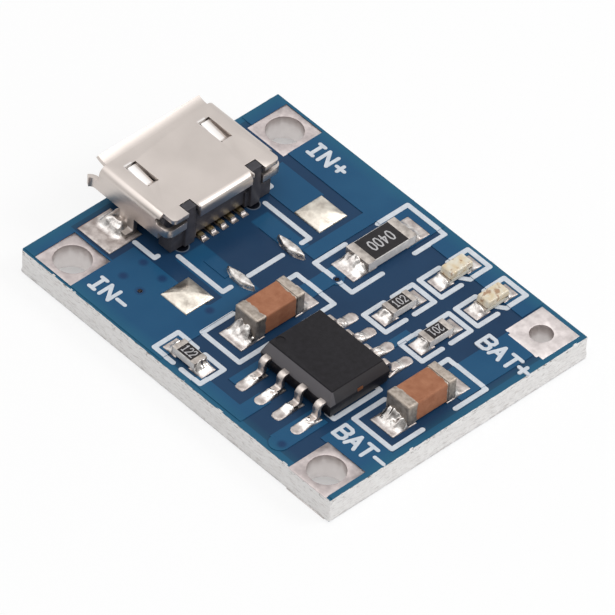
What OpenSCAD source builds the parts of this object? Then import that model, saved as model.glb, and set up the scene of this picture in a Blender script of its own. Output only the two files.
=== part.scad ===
// Charger board for one lithium cell, lying flat with its parts on top.
// X runs from the power socket to the battery edge, Y from the minus side to the plus side.
// The origin is at the centre of the board's underside.

/* [Board] */
// Length of the board along X
board_l = 22; // [21.8:0.1:24]
// Width of the board along Y
board_w = 17; // [16.8:0.1:19]
// Thickness of the board with its copper and mask
board_t = 1.5; // [0.8:0.1:2]
// Radius of the board's corners
corner_r = 0.1; // [0.05:0.05:0.5]
// Thickness of the copper
copper_t = 0.04; // [0.02:0.005:0.07]
// Thickness of the solder mask
mask_t = 0.03; // [0.02:0.005:0.05]
// How far the mask reaches past a track's edge
mask_reach = 0.06; // [0.02:0.01:0.12]
// Gap from the board's edge to the copper
edge_gap = 0.25; // [0.15:0.05:0.4]
// Gap from the board's edge to the copper of the underside
pour_gap = 0.5; // [0.35:0.05:0.55]
// Gap round a land or a pour on another net
net_gap = 0.25; // [0.15:0.05:0.35]

/* [Terminals] */
// Side of the square terminal lands
pad_w = 2.6; // [2.4:0.1:2.8]
// Bore of the three wide plated holes
hole_d = 1.95; // [1.2:0.05:2]
// Bore of the battery plus hole
small_hole_d = 1.2; // [0.8:0.05:1.6]
// Wall of the tinned sleeve that lines each hole
plating_t = 0.16; // [0.16:0.01:0.2]
// Distance of the input holes from the socket's edge
in_edge = 2.18; // [1.9:0.01:2.4]
// Distance of the battery holes from the far edge
bat_edge = 1.65; // [1.5:0.01:1.8]
// Distance of the input minus hole from its side
in_minus_edge = 1.5; // [1.4:0.01:1.7]
// Distance of the input plus hole from its side
in_plus_edge = 1.57; // [1.45:0.01:1.7]
// Distance of the battery plus hole from its side
bat_plus_edge = 1.62; // [1.45:0.01:1.7]
// Depth of the two small bites in the battery plus land
pad_bite = 0.14; // [0.05:0.01:0.25]

/* [Vias] */
// Bore of a via
via_d = 0.26; // [0.2:0.01:0.35]
// Wall of a via's barrel
via_wall = 0.08; // [0.05:0.01:0.12]
// Width of the copper ring round a via's barrel
via_ring = 0.1; // [0.06:0.01:0.15]

/* [Print] */
// Width of a printed line
line_w = 0.27; // [0.18:0.01:0.32]
// Thickness of the print
print_t = 0.02; // [0.01:0.005:0.03]

/* [Power socket] */
// Sideways place of the socket
port_y = 0.1; // [-0.4:0.05:0.4]
// Width of the socket's shell
port_w = 7.5; // [7.2:0.1:7.8]
// Height of the socket's shell
port_h = 2.5; // [2.4:0.05:2.7]
// Thickness of the shell's sheet
sheet_t = 0.25; // [0.2:0.01:0.3]
// Outer radius of the shell's upper corners
port_r = 0.45; // [0.35:0.05:0.6]
// Height at which the side walls turn in
port_skirt = 1; // [0.8:0.05:1.1]
// Length of the shell's upper plate
port_l = 5.3; // [5.2:0.05:5.5]
// Length of the shell's side walls
side_l = 4.5; // [4.4:0.05:4.6]
// Length of the shell's lower plate
base_l = 4.1; // [4:0.05:4.2]
// Distance from the mouth to the start of its flare
flare_x = 0.24; // [0.15:0.01:0.3]
// Bend radius of the mouth's upper and lower lip
flare_r = 1.15; // [0.9:0.05:1.3]
// Bend angle of those lips
flare_a = 31; // [20:1:35]
// Bend radius of the short flares on the side walls
nub_r = 0.35; // [0.2:0.05:0.5]
// Bend angle of the short flares
nub_a = 60; // [30:5:75]
// Height of the short flares
nub_h = 0.6; // [0.4:0.05:0.8]
// Distance from the mouth to the rear face of the tabs that wrap the corners
wrap_x = 5.2; // [5.1:0.05:5.25]
// Outer bend radius of those tabs
wrap_r = 0.4; // [0.3:0.05:0.5]
// Height of those tabs
wrap_h = 0.45; // [0.3:0.05:0.6]
// Height of the slot between a tab and the upper plate
relief_h = 0.4; // [0.3:0.05:0.5]
// Distance from the slot's rounded end to the side walls' end
relief_l = 0.05; // [0:0.05:0.2]
// Distance of the upper plate's rear part from the side walls' outer faces
plate_in = 0.3; // [0.28:0.01:0.4]
// Corner radius of the upper plate's rear part
plate_r = 0.25; // [0.15:0.05:0.4]
// Height of the folded lip at the rear
lip_h = 0.45; // [0.3:0.05:0.6]
// Half width of the folded lip
lip_half = 1.7; // [1.2:0.05:1.75]
// Outer bend radius of the folded lip
lip_r = 0.35; // [0.3:0.05:0.45]
// Place of the spring tabs from the socket's middle
spring_y = 2.4; // [2.2:0.05:2.45]
// Width of a spring tab
spring_w = 0.5; // [0.4:0.05:0.55]
// Width of the slot round a spring tab
spring_slot = 0.1; // [0.06:0.01:0.12]
// Distance of the spring tabs' slots from the mouth
spring_x = 0.95; // [0.8:0.05:1.1]
// Length of a spring tab with its slot
spring_l = 1.7; // [1.4:0.05:1.9]
// How far a spring tab dips into the socket
spring_dip = 0.24; // [0.1:0.02:0.3]
// Length of the bend at a spring tab's root
spring_bend = 0.3; // [0.2:0.05:0.4]
// Distance of the side legs from the mouth
leg_x = 1.8; // [1.6:0.05:2]
// Width of a side leg
leg_w = 1; // [0.7:0.05:1.1]
// Reach of a leg's foot past the side wall
leg_foot = 0.5; // [0.3:0.05:0.7]

/* [Socket insulator] */
// Distance from the mouth to the insulator's front wall
block_x = 3.85; // [3.6:0.05:3.9]
// Reach of the insulator's upper part past the side walls
block_back = 0.15; // [0.1:0.01:0.2]
// Half width of the insulator's lower part
block_half = 3.27; // [3:0.01:3.3]
// Gap under the insulator
block_lift = 0.05; // [0.03:0.01:0.1]
// Height of the insulator's lower part
block_step = 1; // [0.9:0.05:1.05]
// Thickness of the insulator's wall between the hooks
rear_wall_t = 0.2; // [0.15:0.01:0.3]
// Height of the open slot under that wall, over the contacts
rear_slot_h = 0.25; // [0.2:0.05:0.5]
// Place of the rear hooks from the socket's middle
hook_y = 2.14; // [1.95:0.01:2.15]
// Width of a rear hook
hook_w = 0.62; // [0.5:0.01:0.65]
// Length of a rear hook
hook_l = 0.5; // [0.45:0.01:0.55]
// Distance from the side walls' end to the hooks
hook_back = 0.1; // [0.08:0.01:0.15]
// Clearance round a hook in its notch
notch_clear = 0.04; // [0.02:0.01:0.06]
// Width of the tongue
tongue_w = 3.7; // [3.2:0.1:4]
// Thickness of the tongue
tongue_t = 0.6; // [0.5:0.05:0.7]
// Height of the tongue's underside
tongue_z = 1.2; // [1.1:0.05:1.3]
// Distance of the tongue's tip from the mouth
tongue_x = 0.75; // [0.5:0.05:1]

/* [Socket contacts] */
// Distance between contacts
contact_pitch = 0.65; // [0.6:0.01:0.7]
// Width of a contact
contact_w = 0.28; // [0.2:0.01:0.3]
// Thickness of a contact
contact_t = 0.15; // [0.1:0.01:0.16]
// Gap between the shell's lower plate and a contact's bend
contact_gap = 0.1; // [0.06:0.01:0.15]
// Distance of the contacts' tips from the mouth
tail_x = 5.1; // [5.05:0.01:5.3]

/* [Charger package] */
// Place of the package along Y
ic_y = -2.95; // [-3.05:0.01:-2.85]
// Length of the package's body
ic_l = 4.9; // [4.7:0.05:5]
// Width of the package's body
ic_w = 3.9; // [3.8:0.05:4]
// Height of the package's top
ic_h = 1.55; // [1.45:0.05:1.7]
// Gap under the package
ic_lift = 0.1; // [0.05:0.01:0.15]
// Draw-in of each side from the parting line to the top
ic_draft = 0.26; // [0.1:0.01:0.35]
// Distance between leads
lead_pitch = 1.27; // [1.2:0.01:1.3]
// Width of a lead
lead_w = 0.42; // [0.33:0.01:0.48]
// Thickness of a lead
lead_t = 0.2; // [0.17:0.01:0.22]
// Height of the middle of a lead where it leaves the body
lead_z = 0.85; // [0.8:0.01:0.95]
// Distance of a lead's outer face from the package's middle
lead_out = 2.4; // [2.35:0.01:2.5]
// Distance of a lead's tip from the package's middle
lead_tip = 3; // [2.9:0.01:3.1]
// Inner bend radius of a lead
lead_r = 0.14; // [0.1:0.01:0.16]
// Depth of the dimple that marks lead 1
dimple_t = 0.05; // [0.03:0.01:0.1]
// Diameter of the dimple that marks lead 1
dimple_d = 0.5; // [0.3:0.05:0.6]

/* [Capacitors] */
// Length of a capacitor
cap_l = 3.2; // [3.1:0.05:3.3]
// Width of a capacitor
cap_w = 1.6; // [1.5:0.05:1.7]
// Height of a capacitor
cap_h = 1.35; // [1.1:0.05:1.6]
// Reach of the tinned ends
cap_end = 0.55; // [0.4:0.05:0.7]
// Thickness of the tinned ends
cap_end_t = 0.04; // [0.02:0.01:0.06]
// Edge radius of a capacitor
cap_r = 0.15; // [0.1:0.01:0.2]
// Place of the input capacitor along X
cap_in_x = 0.2; // [0.1:0.01:0.25]
// Place of the input capacitor along Y
cap_in_y = -2.45; // [-2.5:0.01:-2.4]
// Distance of the battery capacitor from the far edge
cap_bat_edge = 1.95; // [1.9:0.01:2]
// Place of the battery capacitor along Y
cap_bat_y = -0.83; // [-0.9:0.01:-0.8]

/* [Resistors] */
// Length of the input resistor
big_res_l = 3.2; // [3.1:0.05:3.3]
// Width of the input resistor
big_res_w = 1.6; // [1.5:0.05:1.7]
// Height of the input resistor
big_res_h = 0.58; // [0.5:0.02:0.65]
// Reach of the input resistor's ends
big_res_end = 0.5; // [0.4:0.05:0.6]
// Length of a small resistor
res_l = 1.6; // [1.5:0.05:1.7]
// Width of a small resistor
res_w = 0.82; // [0.75:0.01:0.87]
// Height of a small resistor
res_h = 0.47; // [0.4:0.01:0.5]
// Reach of a small resistor's ends
res_end = 0.32; // [0.25:0.01:0.4]
// Thickness of the metal ends of the resistors and lamps
res_end_t = 0.04; // [0.03:0.01:0.05]
// Thickness of the black glaze
glaze_t = 0.03; // [0.02:0.01:0.04]
// Margin of the white body beside the glaze
glaze_side = 0.05; // [0.03:0.01:0.08]
// Place of the input resistor along X
input_res_x = 0.22; // [0.15:0.01:0.25]
// Distance of the input resistor from the plus side's edge
input_res_edge = 3.63; // [3.6:0.01:3.7]
// Place of the first lamp's column from the package's middle
column_a = -0.9; // [-0.97:0.01:-0.87]
// Place of the second lamp's column from the package's middle
column_b = 1.64; // [1.58:0.01:1.68]
// Place of the lamp resistors from the middle between the package's and the lamps' lands
lamp_res_shift = -0.2; // [-0.24:0.01:-0.15]
// Place of the program resistor along X
prog_res_x = -0.26; // [-0.3:0.01:-0.2]
// Distance of the program resistor from the minus side's edge
prog_res_edge = 1.28; // [1.25:0.01:1.3]

/* [Lamps] */
// Length of a lamp
lamp_l = 1.6; // [1.5:0.05:1.7]
// Width of a lamp
lamp_w = 0.8; // [0.75:0.01:0.87]
// Height of a lamp's lens top
lamp_h = 0.62; // [0.5:0.01:0.8]
// Thickness of a lamp's base
lamp_base_t = 0.22; // [0.18:0.01:0.26]
// Length of a lamp's lens at its foot
lens_l = 1.14; // [1:0.01:1.2]
// Draw-in of the lens at each end
lens_draft = 0.1; // [0.05:0.01:0.15]
// Distance of the two lamps from the plus side's edge
lamp_edge = 2.03; // [2:0.01:2.08]

/* [Lands] */
// Length of the land pattern of a large chip
big_span = 5.1; // [5:0.05:5.2]
// Length of a large chip's land
big_land_l = 1.55; // [1.4:0.05:1.6]
// Width of a large chip's land
big_land_w = 1.6; // [1.5:0.05:1.65]
// Length of the land pattern of a small chip
small_span = 2.8; // [2.7:0.05:2.9]
// Length of a small chip's land
small_land_l = 0.95; // [0.85:0.05:1]
// Width of a small chip's land
small_land_w = 0.95; // [0.9:0.01:1]
// Width of a lead's land
lead_land_w = 0.62; // [0.5:0.01:0.68]
// Inner end of a lead's land from the package's middle
lead_land_in = 2.15; // [2.05:0.05:2.2]
// Outer end of a lead's land from the package's middle
lead_land_out = 3.87; // [3.75:0.01:3.95]
// Length of a side leg's land along X
leg_land_l = 2.3; // [2.2:0.05:2.4]
// Width of a side leg's land along Y
leg_land_w = 2.15; // [2:0.05:2.2]
// Side of the spare lands
spare_w = 1.85; // [1.7:0.05:1.95]
// Place of the spare lands along X
spare_x = -3.4; // [-3.45:0.01:-3.35]
// Place of the spare lands from the middle of the pattern
spare_y = 4.37; // [4.35:0.01:4.45]
// Length of the two long spare lands
bar_l = 1.95; // [1.8:0.05:2]
// Width of the two long spare lands
bar_w = 0.6; // [0.5:0.01:0.65]
// Place of the long spare lands along X
bar_x = -2.57; // [-2.6:0.01:-2.55]
// Place of the long spare lands from the middle of the pattern
bar_y = 1.65; // [1.6:0.01:1.7]
// Height of a solder joint's highest point against an end
fillet_h = 0.4; // [0.3:0.05:0.42]

/* [Hidden] */
$fn = 48;
eps = 0.01;

// Levels, up from the underside
z_lam_low = mask_t + copper_t;
z_lam_top = board_t - mask_t - copper_t;
z_land = board_t - mask_t;
z_bare = z_lam_top + mask_t;

// Edges of the board and places of the terminals
x_min = -board_l / 2;
x_max = board_l / 2;
y_min = -board_w / 2;
y_max = board_w / 2;
in_x = x_min + in_edge;
bat_x = x_max - bat_edge;
in_minus_y = y_min + in_minus_edge;
in_plus_y = y_max - in_plus_edge;
bat_minus_y = y_min + pad_w / 2;
bat_plus_y = y_max - bat_plus_edge;
pattern_y = -0.1;
track_w = 0.7;
thin_w = 0.4;
leg_land_x = x_min + leg_x + leg_w / 2 - 0.4;
contact_land_l = 0.9;
contact_land_w = 0.12;
contact_land_back = 0.175;
bite_l = 0.6;
TERMINALS = [[in_x, in_minus_y], [in_x, in_plus_y], [bat_x, bat_minus_y], [bat_x, bat_plus_y]];
BORES = [hole_d, hole_d, hole_d, small_hole_d];

// Places of the parts, the package midway between the two capacitors
cap_bat_x = x_max - cap_bat_edge;
ic_x = (cap_in_x + cap_bat_x) / 2;
column_a_x = ic_x + column_a;
column_b_x = ic_x + column_b;
input_res_y = y_max - input_res_edge;
lamp_y = y_max - lamp_edge;
lamp_res_y = (ic_y + lead_land_out + lamp_y - small_span / 2) / 2 + lamp_res_shift;
prog_res_y = y_min + prog_res_edge;
last_via = [bat_x - pad_w / 2 - 1.28, bat_minus_y - 0.5];

// Places in the socket, measured from its mouth, its middle and the board
wall_low = port_skirt + 0.1;
leg_bend = 0.1;
lip_low = port_h - sheet_t - lip_h;
hook_x = side_l + hook_back;
block_end = side_l + block_back;
wrap_inner = wrap_x - sheet_t;
wrap_top = port_h - sheet_t - relief_h;
relief_x = side_l - relief_l;
spring_end = spring_x + spring_l;
contact_x = base_l + contact_gap;
contact_back = 0.15;
foot_reach = 0.24;

// Vias, open ones first and ones under the mask after them
open_vias = [[in_x + 3.7, in_minus_y + 1.02], [input_res_x + 0.16, input_res_y - 3.04]];
closed_vias = [last_via, [in_x + 2.37, in_minus_y + 2.45],
    [in_x + 3.77, in_minus_y + 2.4], [in_x + 2.42, in_minus_y + 1.1], [spare_x + 1.4, -4.3]];

// Inside the charger package: root of a lead, carrier plate and its tie bars
lead_root = 0.6;
paddle_l = 3;
paddle_w = 2;
tie_w = 0.35;

// Printed frames: half sizes and arm length
big_half = [1.31, 3.08];
small_half = [0.77, 1.61];
big_arm = 2;
small_arm = 1.32;

function arc(c, r, a0, a1, n) = [for (i = [0:n]) let (a = a0 + (a1 - a0) * i / n)
    [c[0] + r * cos(a), c[1] + r * sin(a)]];

// Plain shapes
module rect(x0, y0, x1, y1, grow = 0) {
    translate([x0 - grow, y0 - grow]) square([x1 - x0 + 2 * grow, y1 - y0 + 2 * grow]);
}

module box(x0, x1, y0, y1, z0, z1) {
    translate([x0, y0, z0]) cube([x1 - x0, y1 - y0, z1 - z0]);
}

module both_sides() {
    children();
    mirror([0, 1, 0]) children();
}

module along_x(x0, x1) {
    translate([x0, 0, 0]) rotate([90, 0, 90]) linear_extrude(x1 - x0) children();
}

module along_y(y0, y1) {
    translate([0, y1, 0]) rotate([90, 0, 0]) linear_extrude(y1 - y0) children();
}

module line_2d(a, b) {
    d = b - a;
    translate(a) rotate(atan2(d[1], d[0])) {
        translate([0, -line_w / 2]) square([norm(d), line_w]);
        circle(d = line_w, $fn = 24);
        translate([norm(d), 0]) circle(d = line_w, $fn = 24);
    }
}

module board_2d() {
    square([board_l - 2 * corner_r, board_w], center = true);
    square([board_l, board_w - 2 * corner_r], center = true);
    for (sx = [-1, 1], sy = [-1, 1])
        translate([sx * (board_l / 2 - corner_r), sy * (board_w / 2 - corner_r)]) circle(r = corner_r);
}

// Lands
module terminal_2d(i) {
    difference() {
        translate(TERMINALS[i]) square(pad_w, center = true);
        if (i == 3)
            for (s = [-1, 1])
                translate(TERMINALS[i] + [s * pad_w / 2, -pad_w / 2])
                    square([bite_l, 2 * pad_bite], center = true);
    }
}

module chip_lands_2d(c, span, l, w, turn = 0) {
    translate(c) rotate(turn) for (s = [-1, 1])
        translate([0, s * (span - l) / 2]) square([w, l], center = true);
}

module lead_land_2d() {
    translate([-lead_land_w / 2, lead_land_in])
        square([lead_land_w, lead_land_out - lead_land_in - lead_land_w / 2]);
    translate([0, lead_land_out - lead_land_w / 2]) circle(d = lead_land_w, $fn = 32);
}

// Lead n, from 1 at the near left, counted round the package
module at_lead(n) {
    near = n <= 4;
    step = near ? n - 2.5 : 6.5 - n;
    translate([ic_x + step * lead_pitch, ic_y]) rotate(near ? 180 : 0) children();
}

module ic_lands_2d() {
    for (n = [1:8]) at_lead(n) lead_land_2d();
}

module big_lands_2d(c) {
    chip_lands_2d(c, big_span, big_land_l, big_land_w);
}

module small_lands_2d(c, turn = 0) {
    chip_lands_2d(c, small_span, small_land_l, small_land_w, turn);
}

module capacitor_lands_2d() {
    big_lands_2d([cap_in_x, cap_in_y]);
    big_lands_2d([cap_bat_x, cap_bat_y]);
}

module resistor_lands_2d() {
    big_lands_2d([input_res_x, input_res_y]);
    small_lands_2d([column_a_x, lamp_res_y]);
    small_lands_2d([column_b_x, lamp_res_y]);
    small_lands_2d([prog_res_x, prog_res_y], 90);
}

module lamp_lands_2d() {
    small_lands_2d([column_a_x, lamp_y]);
    small_lands_2d([column_b_x, lamp_y]);
}

module leg_lands_2d() {
    for (s = [-1, 1]) translate([leg_land_x, pattern_y + s * (port_w / 2 + leg_foot)])
        square([leg_land_l, leg_land_w], center = true);
}

module contact_lands_2d() {
    for (i = [-2:2]) translate([x_min + tail_x - contact_land_back, port_y + i * contact_pitch])
        square([contact_land_l, contact_w + contact_land_w], center = true);
}

module spare_lands_2d() {
    for (s = [-1, 1]) translate([spare_x, pattern_y + s * spare_y]) square(spare_w, center = true);
}

module bar_lands_2d() {
    for (s = [-1, 1]) translate([bar_x, pattern_y + s * bar_y]) pointed_2d(bar_l, bar_w);
}

// Long shape with two pointed ends, where two circles overlap
module pointed_2d(l, w) {
    r = (l * l + w * w) / (4 * w);
    intersection_for(s = [-1, 1]) translate([0, s * (r - w / 2)]) circle(r = r, $fn = 96);
}

module part_lands_2d() {
    ic_lands_2d();
    capacitor_lands_2d();
    resistor_lands_2d();
    lamp_lands_2d();
    leg_lands_2d();
    contact_lands_2d();
    spare_lands_2d();
    bar_lands_2d();
}

// Tracks and pours of the upper side, each grown by g where the mask covers it
module minus_pour_2d(g) {
    strip_top = in_minus_y + 1.35;
    shelf_top = in_minus_y + 2.75;
    shelf_end = spare_x + 1.2;
    rect(x_min + edge_gap, y_min + edge_gap, prog_res_x - 0.9, strip_top, g);
    rect(in_x + pad_w / 2 + 0.05, strip_top, shelf_end, shelf_top, g);
    rect(shelf_end, strip_top, cap_in_x - 1.5, cap_in_y - 0.45, g);
}

module plus_pour_2d(g) {
    low = in_plus_y - 0.95;
    top = y_max - edge_gap;
    land_side = input_res_x - big_land_w;
    rect(in_x, low, land_side, top, g);
    rect(land_side - track_w, input_res_y - 2.9, land_side, low, g);
    rect(land_side, input_res_y + 1.2, input_res_x + big_land_w / 2, top, g);
    rect(x_min + edge_gap, low, in_x, top, g);
}

module socket_pour_2d(g) {
    pad_side = spare_x - spare_w / 2;
    rect(x_min + 3.8, pattern_y + 3.5, pad_side, pattern_y + 5.35, g);
    for (s = [-1, 1]) translate([spare_x - 0.5, pattern_y + s * (bar_y + 0.15)])
        rect(-track_w, -bar_w / 2, track_w, bar_w / 2, g);
}

module lamp_tracks_2d(g) {
    drop_x = ic_x + lead_pitch / 2;
    land_end = ic_y + lead_land_out - lead_land_w / 2;
    rect(input_res_x + 1.45, lamp_y + 0.5, column_b_x + 1.65, y_max - edge_gap, g);
    rect(drop_x - thin_w / 2, land_end, drop_x + thin_w / 2, lamp_res_y - 0.8, g);
    rect(drop_x - thin_w / 2, lamp_res_y - 0.8 - thin_w, column_b_x, lamp_res_y - 0.8, g);
}

module drop_track_2d(g) {
    rect(input_res_x - 0.6, cap_in_y + 2.2, input_res_x + 0.25, input_res_y - 2.2, g);
}

module battery_pours_2d(g) {
    minus_top = bat_minus_y + 3.05;
    rect(bat_x - 1.05, cap_bat_y + 1.7, bat_x + 0.75, bat_plus_y - 1.2, g);
    rect(bat_x - 1.65, bat_minus_y + 1.25, bat_x + pad_w / 2, minus_top, g);
    rect(bat_x + pad_w / 2, y_min + edge_gap, x_max - 0.08 - mask_reach, minus_top, g);
}

module lead_tracks_2d(g) {
    lead_1_x = ic_x - 1.5 * lead_pitch;
    lead_2_x = ic_x - 0.5 * lead_pitch;
    lead_4_x = ic_x + 1.5 * lead_pitch;
    end = last_via - [0.17, 0];
    end_r = 0.475;
    left = min(lead_4_x, end[0]);
    right = max(lead_4_x, end[0]);
    rect(lead_1_x - track_w, ic_y - 3.7, lead_1_x, ic_y - 1.9, g);
    rect(prog_res_x + 1.2, prog_res_y - 0.9, lead_2_x + track_w / 2, prog_res_y - 0.3, g);
    rect(lead_2_x - track_w / 2, prog_res_y - 0.3, lead_2_x + track_w / 2, ic_y - 3.3, g);
    rect(left - end_r, end[1], right + end_r, ic_y - lead_land_in, g);
    translate(end) circle(r = end_r + g, $fn = 40);
}

module tracks_2d(g = 0) {
    minus_pour_2d(g);
    plus_pour_2d(g);
    socket_pour_2d(g);
    lamp_tracks_2d(g);
    drop_track_2d(g);
    battery_pours_2d(g);
    lead_tracks_2d(g);
    via_2d(via_d + 2 * via_wall + 2 * via_ring + 2 * g);
}

module via_2d(d) {
    for (p = concat(open_vias, closed_vias)) translate(p) circle(d = d, $fn = 24);
}

module open_via_2d() {
    for (p = open_vias) translate(p) circle(d = via_d, $fn = 24);
}

// The board
module board_laminate() {
    color("cornsilk") translate([0, 0, z_lam_low]) linear_extrude(z_lam_top - z_lam_low) difference() {
        board_2d();
        for (i = [0:3]) translate(TERMINALS[i]) circle(d = BORES[i] + 2 * plating_t);
        via_2d(via_d + 2 * via_wall);
    }
}

module top_copper() {
    color("goldenrod") translate([0, 0, z_lam_top]) linear_extrude(copper_t) difference() {
        union() {
            tracks_2d();
            part_lands_2d();
        }
        for (i = [0:3]) terminal_2d(i);
        via_2d(via_d + 2 * via_wall);
    }
}

module top_mask() {
    color("royalblue") difference() {
        union() {
            translate([0, 0, z_lam_top]) linear_extrude(mask_t) board_2d();
            translate([0, 0, z_lam_top]) linear_extrude(copper_t + mask_t) tracks_2d(mask_reach);
        }
        top_copper();
        translate([0, 0, z_lam_top - eps]) linear_extrude(copper_t + mask_t + 2 * eps) {
            part_lands_2d();
            for (i = [0:3]) terminal_2d(i);
            open_via_2d();
        }
        translate([0, 0, z_lam_top - eps]) linear_extrude(copper_t + eps)
            via_2d(via_d + 2 * via_wall);
    }
}

// The underside has one pour that clears the plus terminals
module bottom_pour_2d() {
    difference() {
        square([board_l - 2 * pour_gap, board_w - 2 * pour_gap], center = true);
        for (i = [1, 3]) translate(TERMINALS[i]) square(pad_w + 2 * net_gap, center = true);
        for (i = [0, 2]) terminal_2d(i);
        via_2d(via_d + 2 * via_wall);
    }
}

module bottom_copper() {
    color("goldenrod") translate([0, 0, mask_t]) linear_extrude(copper_t) bottom_pour_2d();
}

module bottom_mask() {
    color("royalblue") difference() {
        linear_extrude(z_lam_low) board_2d();
        translate([0, 0, mask_t]) linear_extrude(z_lam_low) {
            bottom_pour_2d();
            via_2d(via_d + 2 * via_wall);
        }
        translate([0, 0, -eps]) linear_extrude(z_lam_low + 2 * eps) {
            for (i = [0:3]) terminal_2d(i);
            open_via_2d();
        }
    }
}

// A plated hole with a square land on each side
module terminal(i) {
    color("silver") difference() {
        union() {
            translate(TERMINALS[i]) cylinder(d = BORES[i] + 2 * plating_t, h = z_land);
            linear_extrude(z_lam_low) intersection() {
                terminal_2d(i);
                board_2d();
            }
            translate([0, 0, z_lam_top]) linear_extrude(copper_t) intersection() {
                terminal_2d(i);
                board_2d();
            }
        }
        translate(TERMINALS[i]) translate([0, 0, -eps]) cylinder(d = BORES[i], h = board_t);
    }
}

module via_barrels() {
    color("silver") difference() {
        translate([0, 0, mask_t]) linear_extrude(z_land - mask_t) via_2d(via_d + 2 * via_wall);
        linear_extrude(board_t) via_2d(via_d);
    }
}

// Printed lines
module frame_pair_2d(c, half, arm, turn = 0) {
    translate(c) rotate(turn) for (s = [-1, 1]) {
        line_2d([-half[0], s * half[1]], [half[0], s * half[1]]);
        for (t = [-1, 1]) line_2d([t * half[0], s * half[1]], [t * half[0], s * (half[1] - arm)]);
    }
}

module lamp_mark_2d(x) {
    side = x + small_half[0];
    line_2d([side - 0.08, lamp_y + 0.24], [side - 0.4, lamp_y]);
}

module spare_outline_2d() {
    side = bar_x + 0.03;
    back = x_min + port_l;
    half = 2.85;
    for (s = [-1, 1]) {
        line_2d([back, pattern_y + s * half], [side, pattern_y + s * half]);
        line_2d([side, pattern_y + s * half], [side, pattern_y + s * (bar_y + 0.68)]);
    }
    line_2d([side, pattern_y - bar_y + 0.5], [side, pattern_y + bar_y - 0.6]);
}

module socket_outline_2d() {
    back = x_min + side_l + 0.15;
    half = port_w / 2 + 0.07;
    for (s = [-1, 1]) {
        line_2d([back - 1.4, pattern_y + s * half], [back, pattern_y + s * half]);
        line_2d([back, pattern_y + s * half], [back, pattern_y + s * (half - 0.22)]);
    }
}

module ic_outline_2d() {
    side = ic_x + ic_l / 2 + 0.05;
    ends = [ic_y - 1.7, ic_y + 1.3];
    line_2d([side, ends[0]], [side, ends[1]]);
    for (y = ends) line_2d([side - 0.5, y], [side, y]);
}

module print_2d() {
    frame_pair_2d([input_res_x - 0.05, input_res_y], big_half, big_arm);
    frame_pair_2d([cap_in_x - 0.03, cap_in_y - 0.03], big_half, big_arm);
    frame_pair_2d([cap_bat_x - 0.02, cap_bat_y], big_half, big_arm);
    for (x = [column_a_x, column_b_x], y = [lamp_res_y, lamp_y])
        frame_pair_2d([x, y], small_half, small_arm);
    frame_pair_2d([prog_res_x, prog_res_y], small_half, small_arm, 90);
    for (x = [column_a_x, column_b_x]) lamp_mark_2d(x);
    spare_outline_2d();
    socket_outline_2d();
    ic_outline_2d();
}

module silkscreen() {
    color("white") difference() {
        union() {
            translate([0, 0, board_t]) linear_extrude(print_t) intersection() {
                print_2d();
                tracks_2d(mask_reach);
            }
            translate([0, 0, z_bare]) linear_extrude(print_t) difference() {
                print_2d();
                tracks_2d(mask_reach);
            }
        }
        translate([0, 0, z_lam_top]) linear_extrude(board_t) {
            part_lands_2d();
            for (p = open_vias) translate(p) circle(d = via_d + 2 * via_wall, $fn = 24);
        }
    }
}

// The power socket, measured from its mouth and the board's upper face
module at_port() {
    translate([x_min, port_y, board_t]) children();
}

// Shell outline in Y and Z, moved inward by inset
function half_outline(inset) = let (w = port_w / 2 - inset, r = port_r - inset, k = 0.4142 * inset)
    concat([[port_w / 2 - port_skirt - k, inset], [w, port_skirt + k]],
        arc([w - r, port_h - port_r], r, 0, 90, 8));
function mirrored(points) = [for (i = [len(points) - 1:-1:0]) [-points[i][0], points[i][1]]];

module port_outline_2d(inset) {
    polygon(concat(half_outline(inset), mirrored(half_outline(inset))));
}

// Strip that bends away from the mouth, drawn with the wall along +X and outward as +Y
module flare_2d(start, r, a) {
    middle = [start, r];
    polygon(concat(arc(middle, r, 270, 270 - a, 12), arc(middle, r + sheet_t, 270 - a, 270, 12)));
    rect(start, -sheet_t, flare_x + eps, 0);
}

module port_flares() {
    lip = port_w / 2 - port_r;
    base = port_w / 2 - port_skirt;
    translate([0, 0, port_h]) along_y(-lip, lip) flare_2d(flare_x, flare_r, flare_a);
    mirror([0, 0, 1]) along_y(-base, base) flare_2d(flare_x, flare_r, flare_a);
    both_sides() translate([0, port_w / 2, port_skirt + eps]) linear_extrude(nub_h) flare_2d(0, nub_r, nub_a);
}

// Tab that runs on from a side wall and turns behind the insulator
module port_wrap() {
    y_in = hook_y + hook_w / 2 + notch_clear;
    middle = [wrap_x - wrap_r, port_w / 2 - wrap_r];
    translate([0, 0, wrap_top - wrap_h]) linear_extrude(wrap_h) {
        polygon(concat(arc(middle, wrap_r, 90, 0, 8), arc(middle, wrap_r - sheet_t, 0, 90, 8)));
        rect(side_l - sheet_t, port_w / 2 - sheet_t, middle[0], port_w / 2);
        rect(wrap_inner, y_in, wrap_x, middle[1]);
    }
}

// Slot that parts the tabs from the upper plate, rounded at its front end
module port_relief() {
    both_sides() along_y(port_w / 2 - port_r, port_w / 2 + 1) translate([relief_x, wrap_top + relief_h / 2]) {
        circle(d = relief_h);
        translate([0, -relief_h / 2]) square([port_l, relief_h]);
    }
}

module rear_plate() {
    half = port_w / 2 - plate_in;
    translate([0, 0, port_h - sheet_t]) linear_extrude(sheet_t) difference() {
        union() {
            rect(relief_x, -half, port_l - plate_r, half);
            rect(relief_x, plate_r - half, port_l, half - plate_r);
            for (s = [-1, 1]) translate([port_l - plate_r, s * (half - plate_r)]) circle(r = plate_r);
        }
        rect(port_l - lip_r, -lip_half, port_l + 1, lip_half);
    }
}

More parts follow.
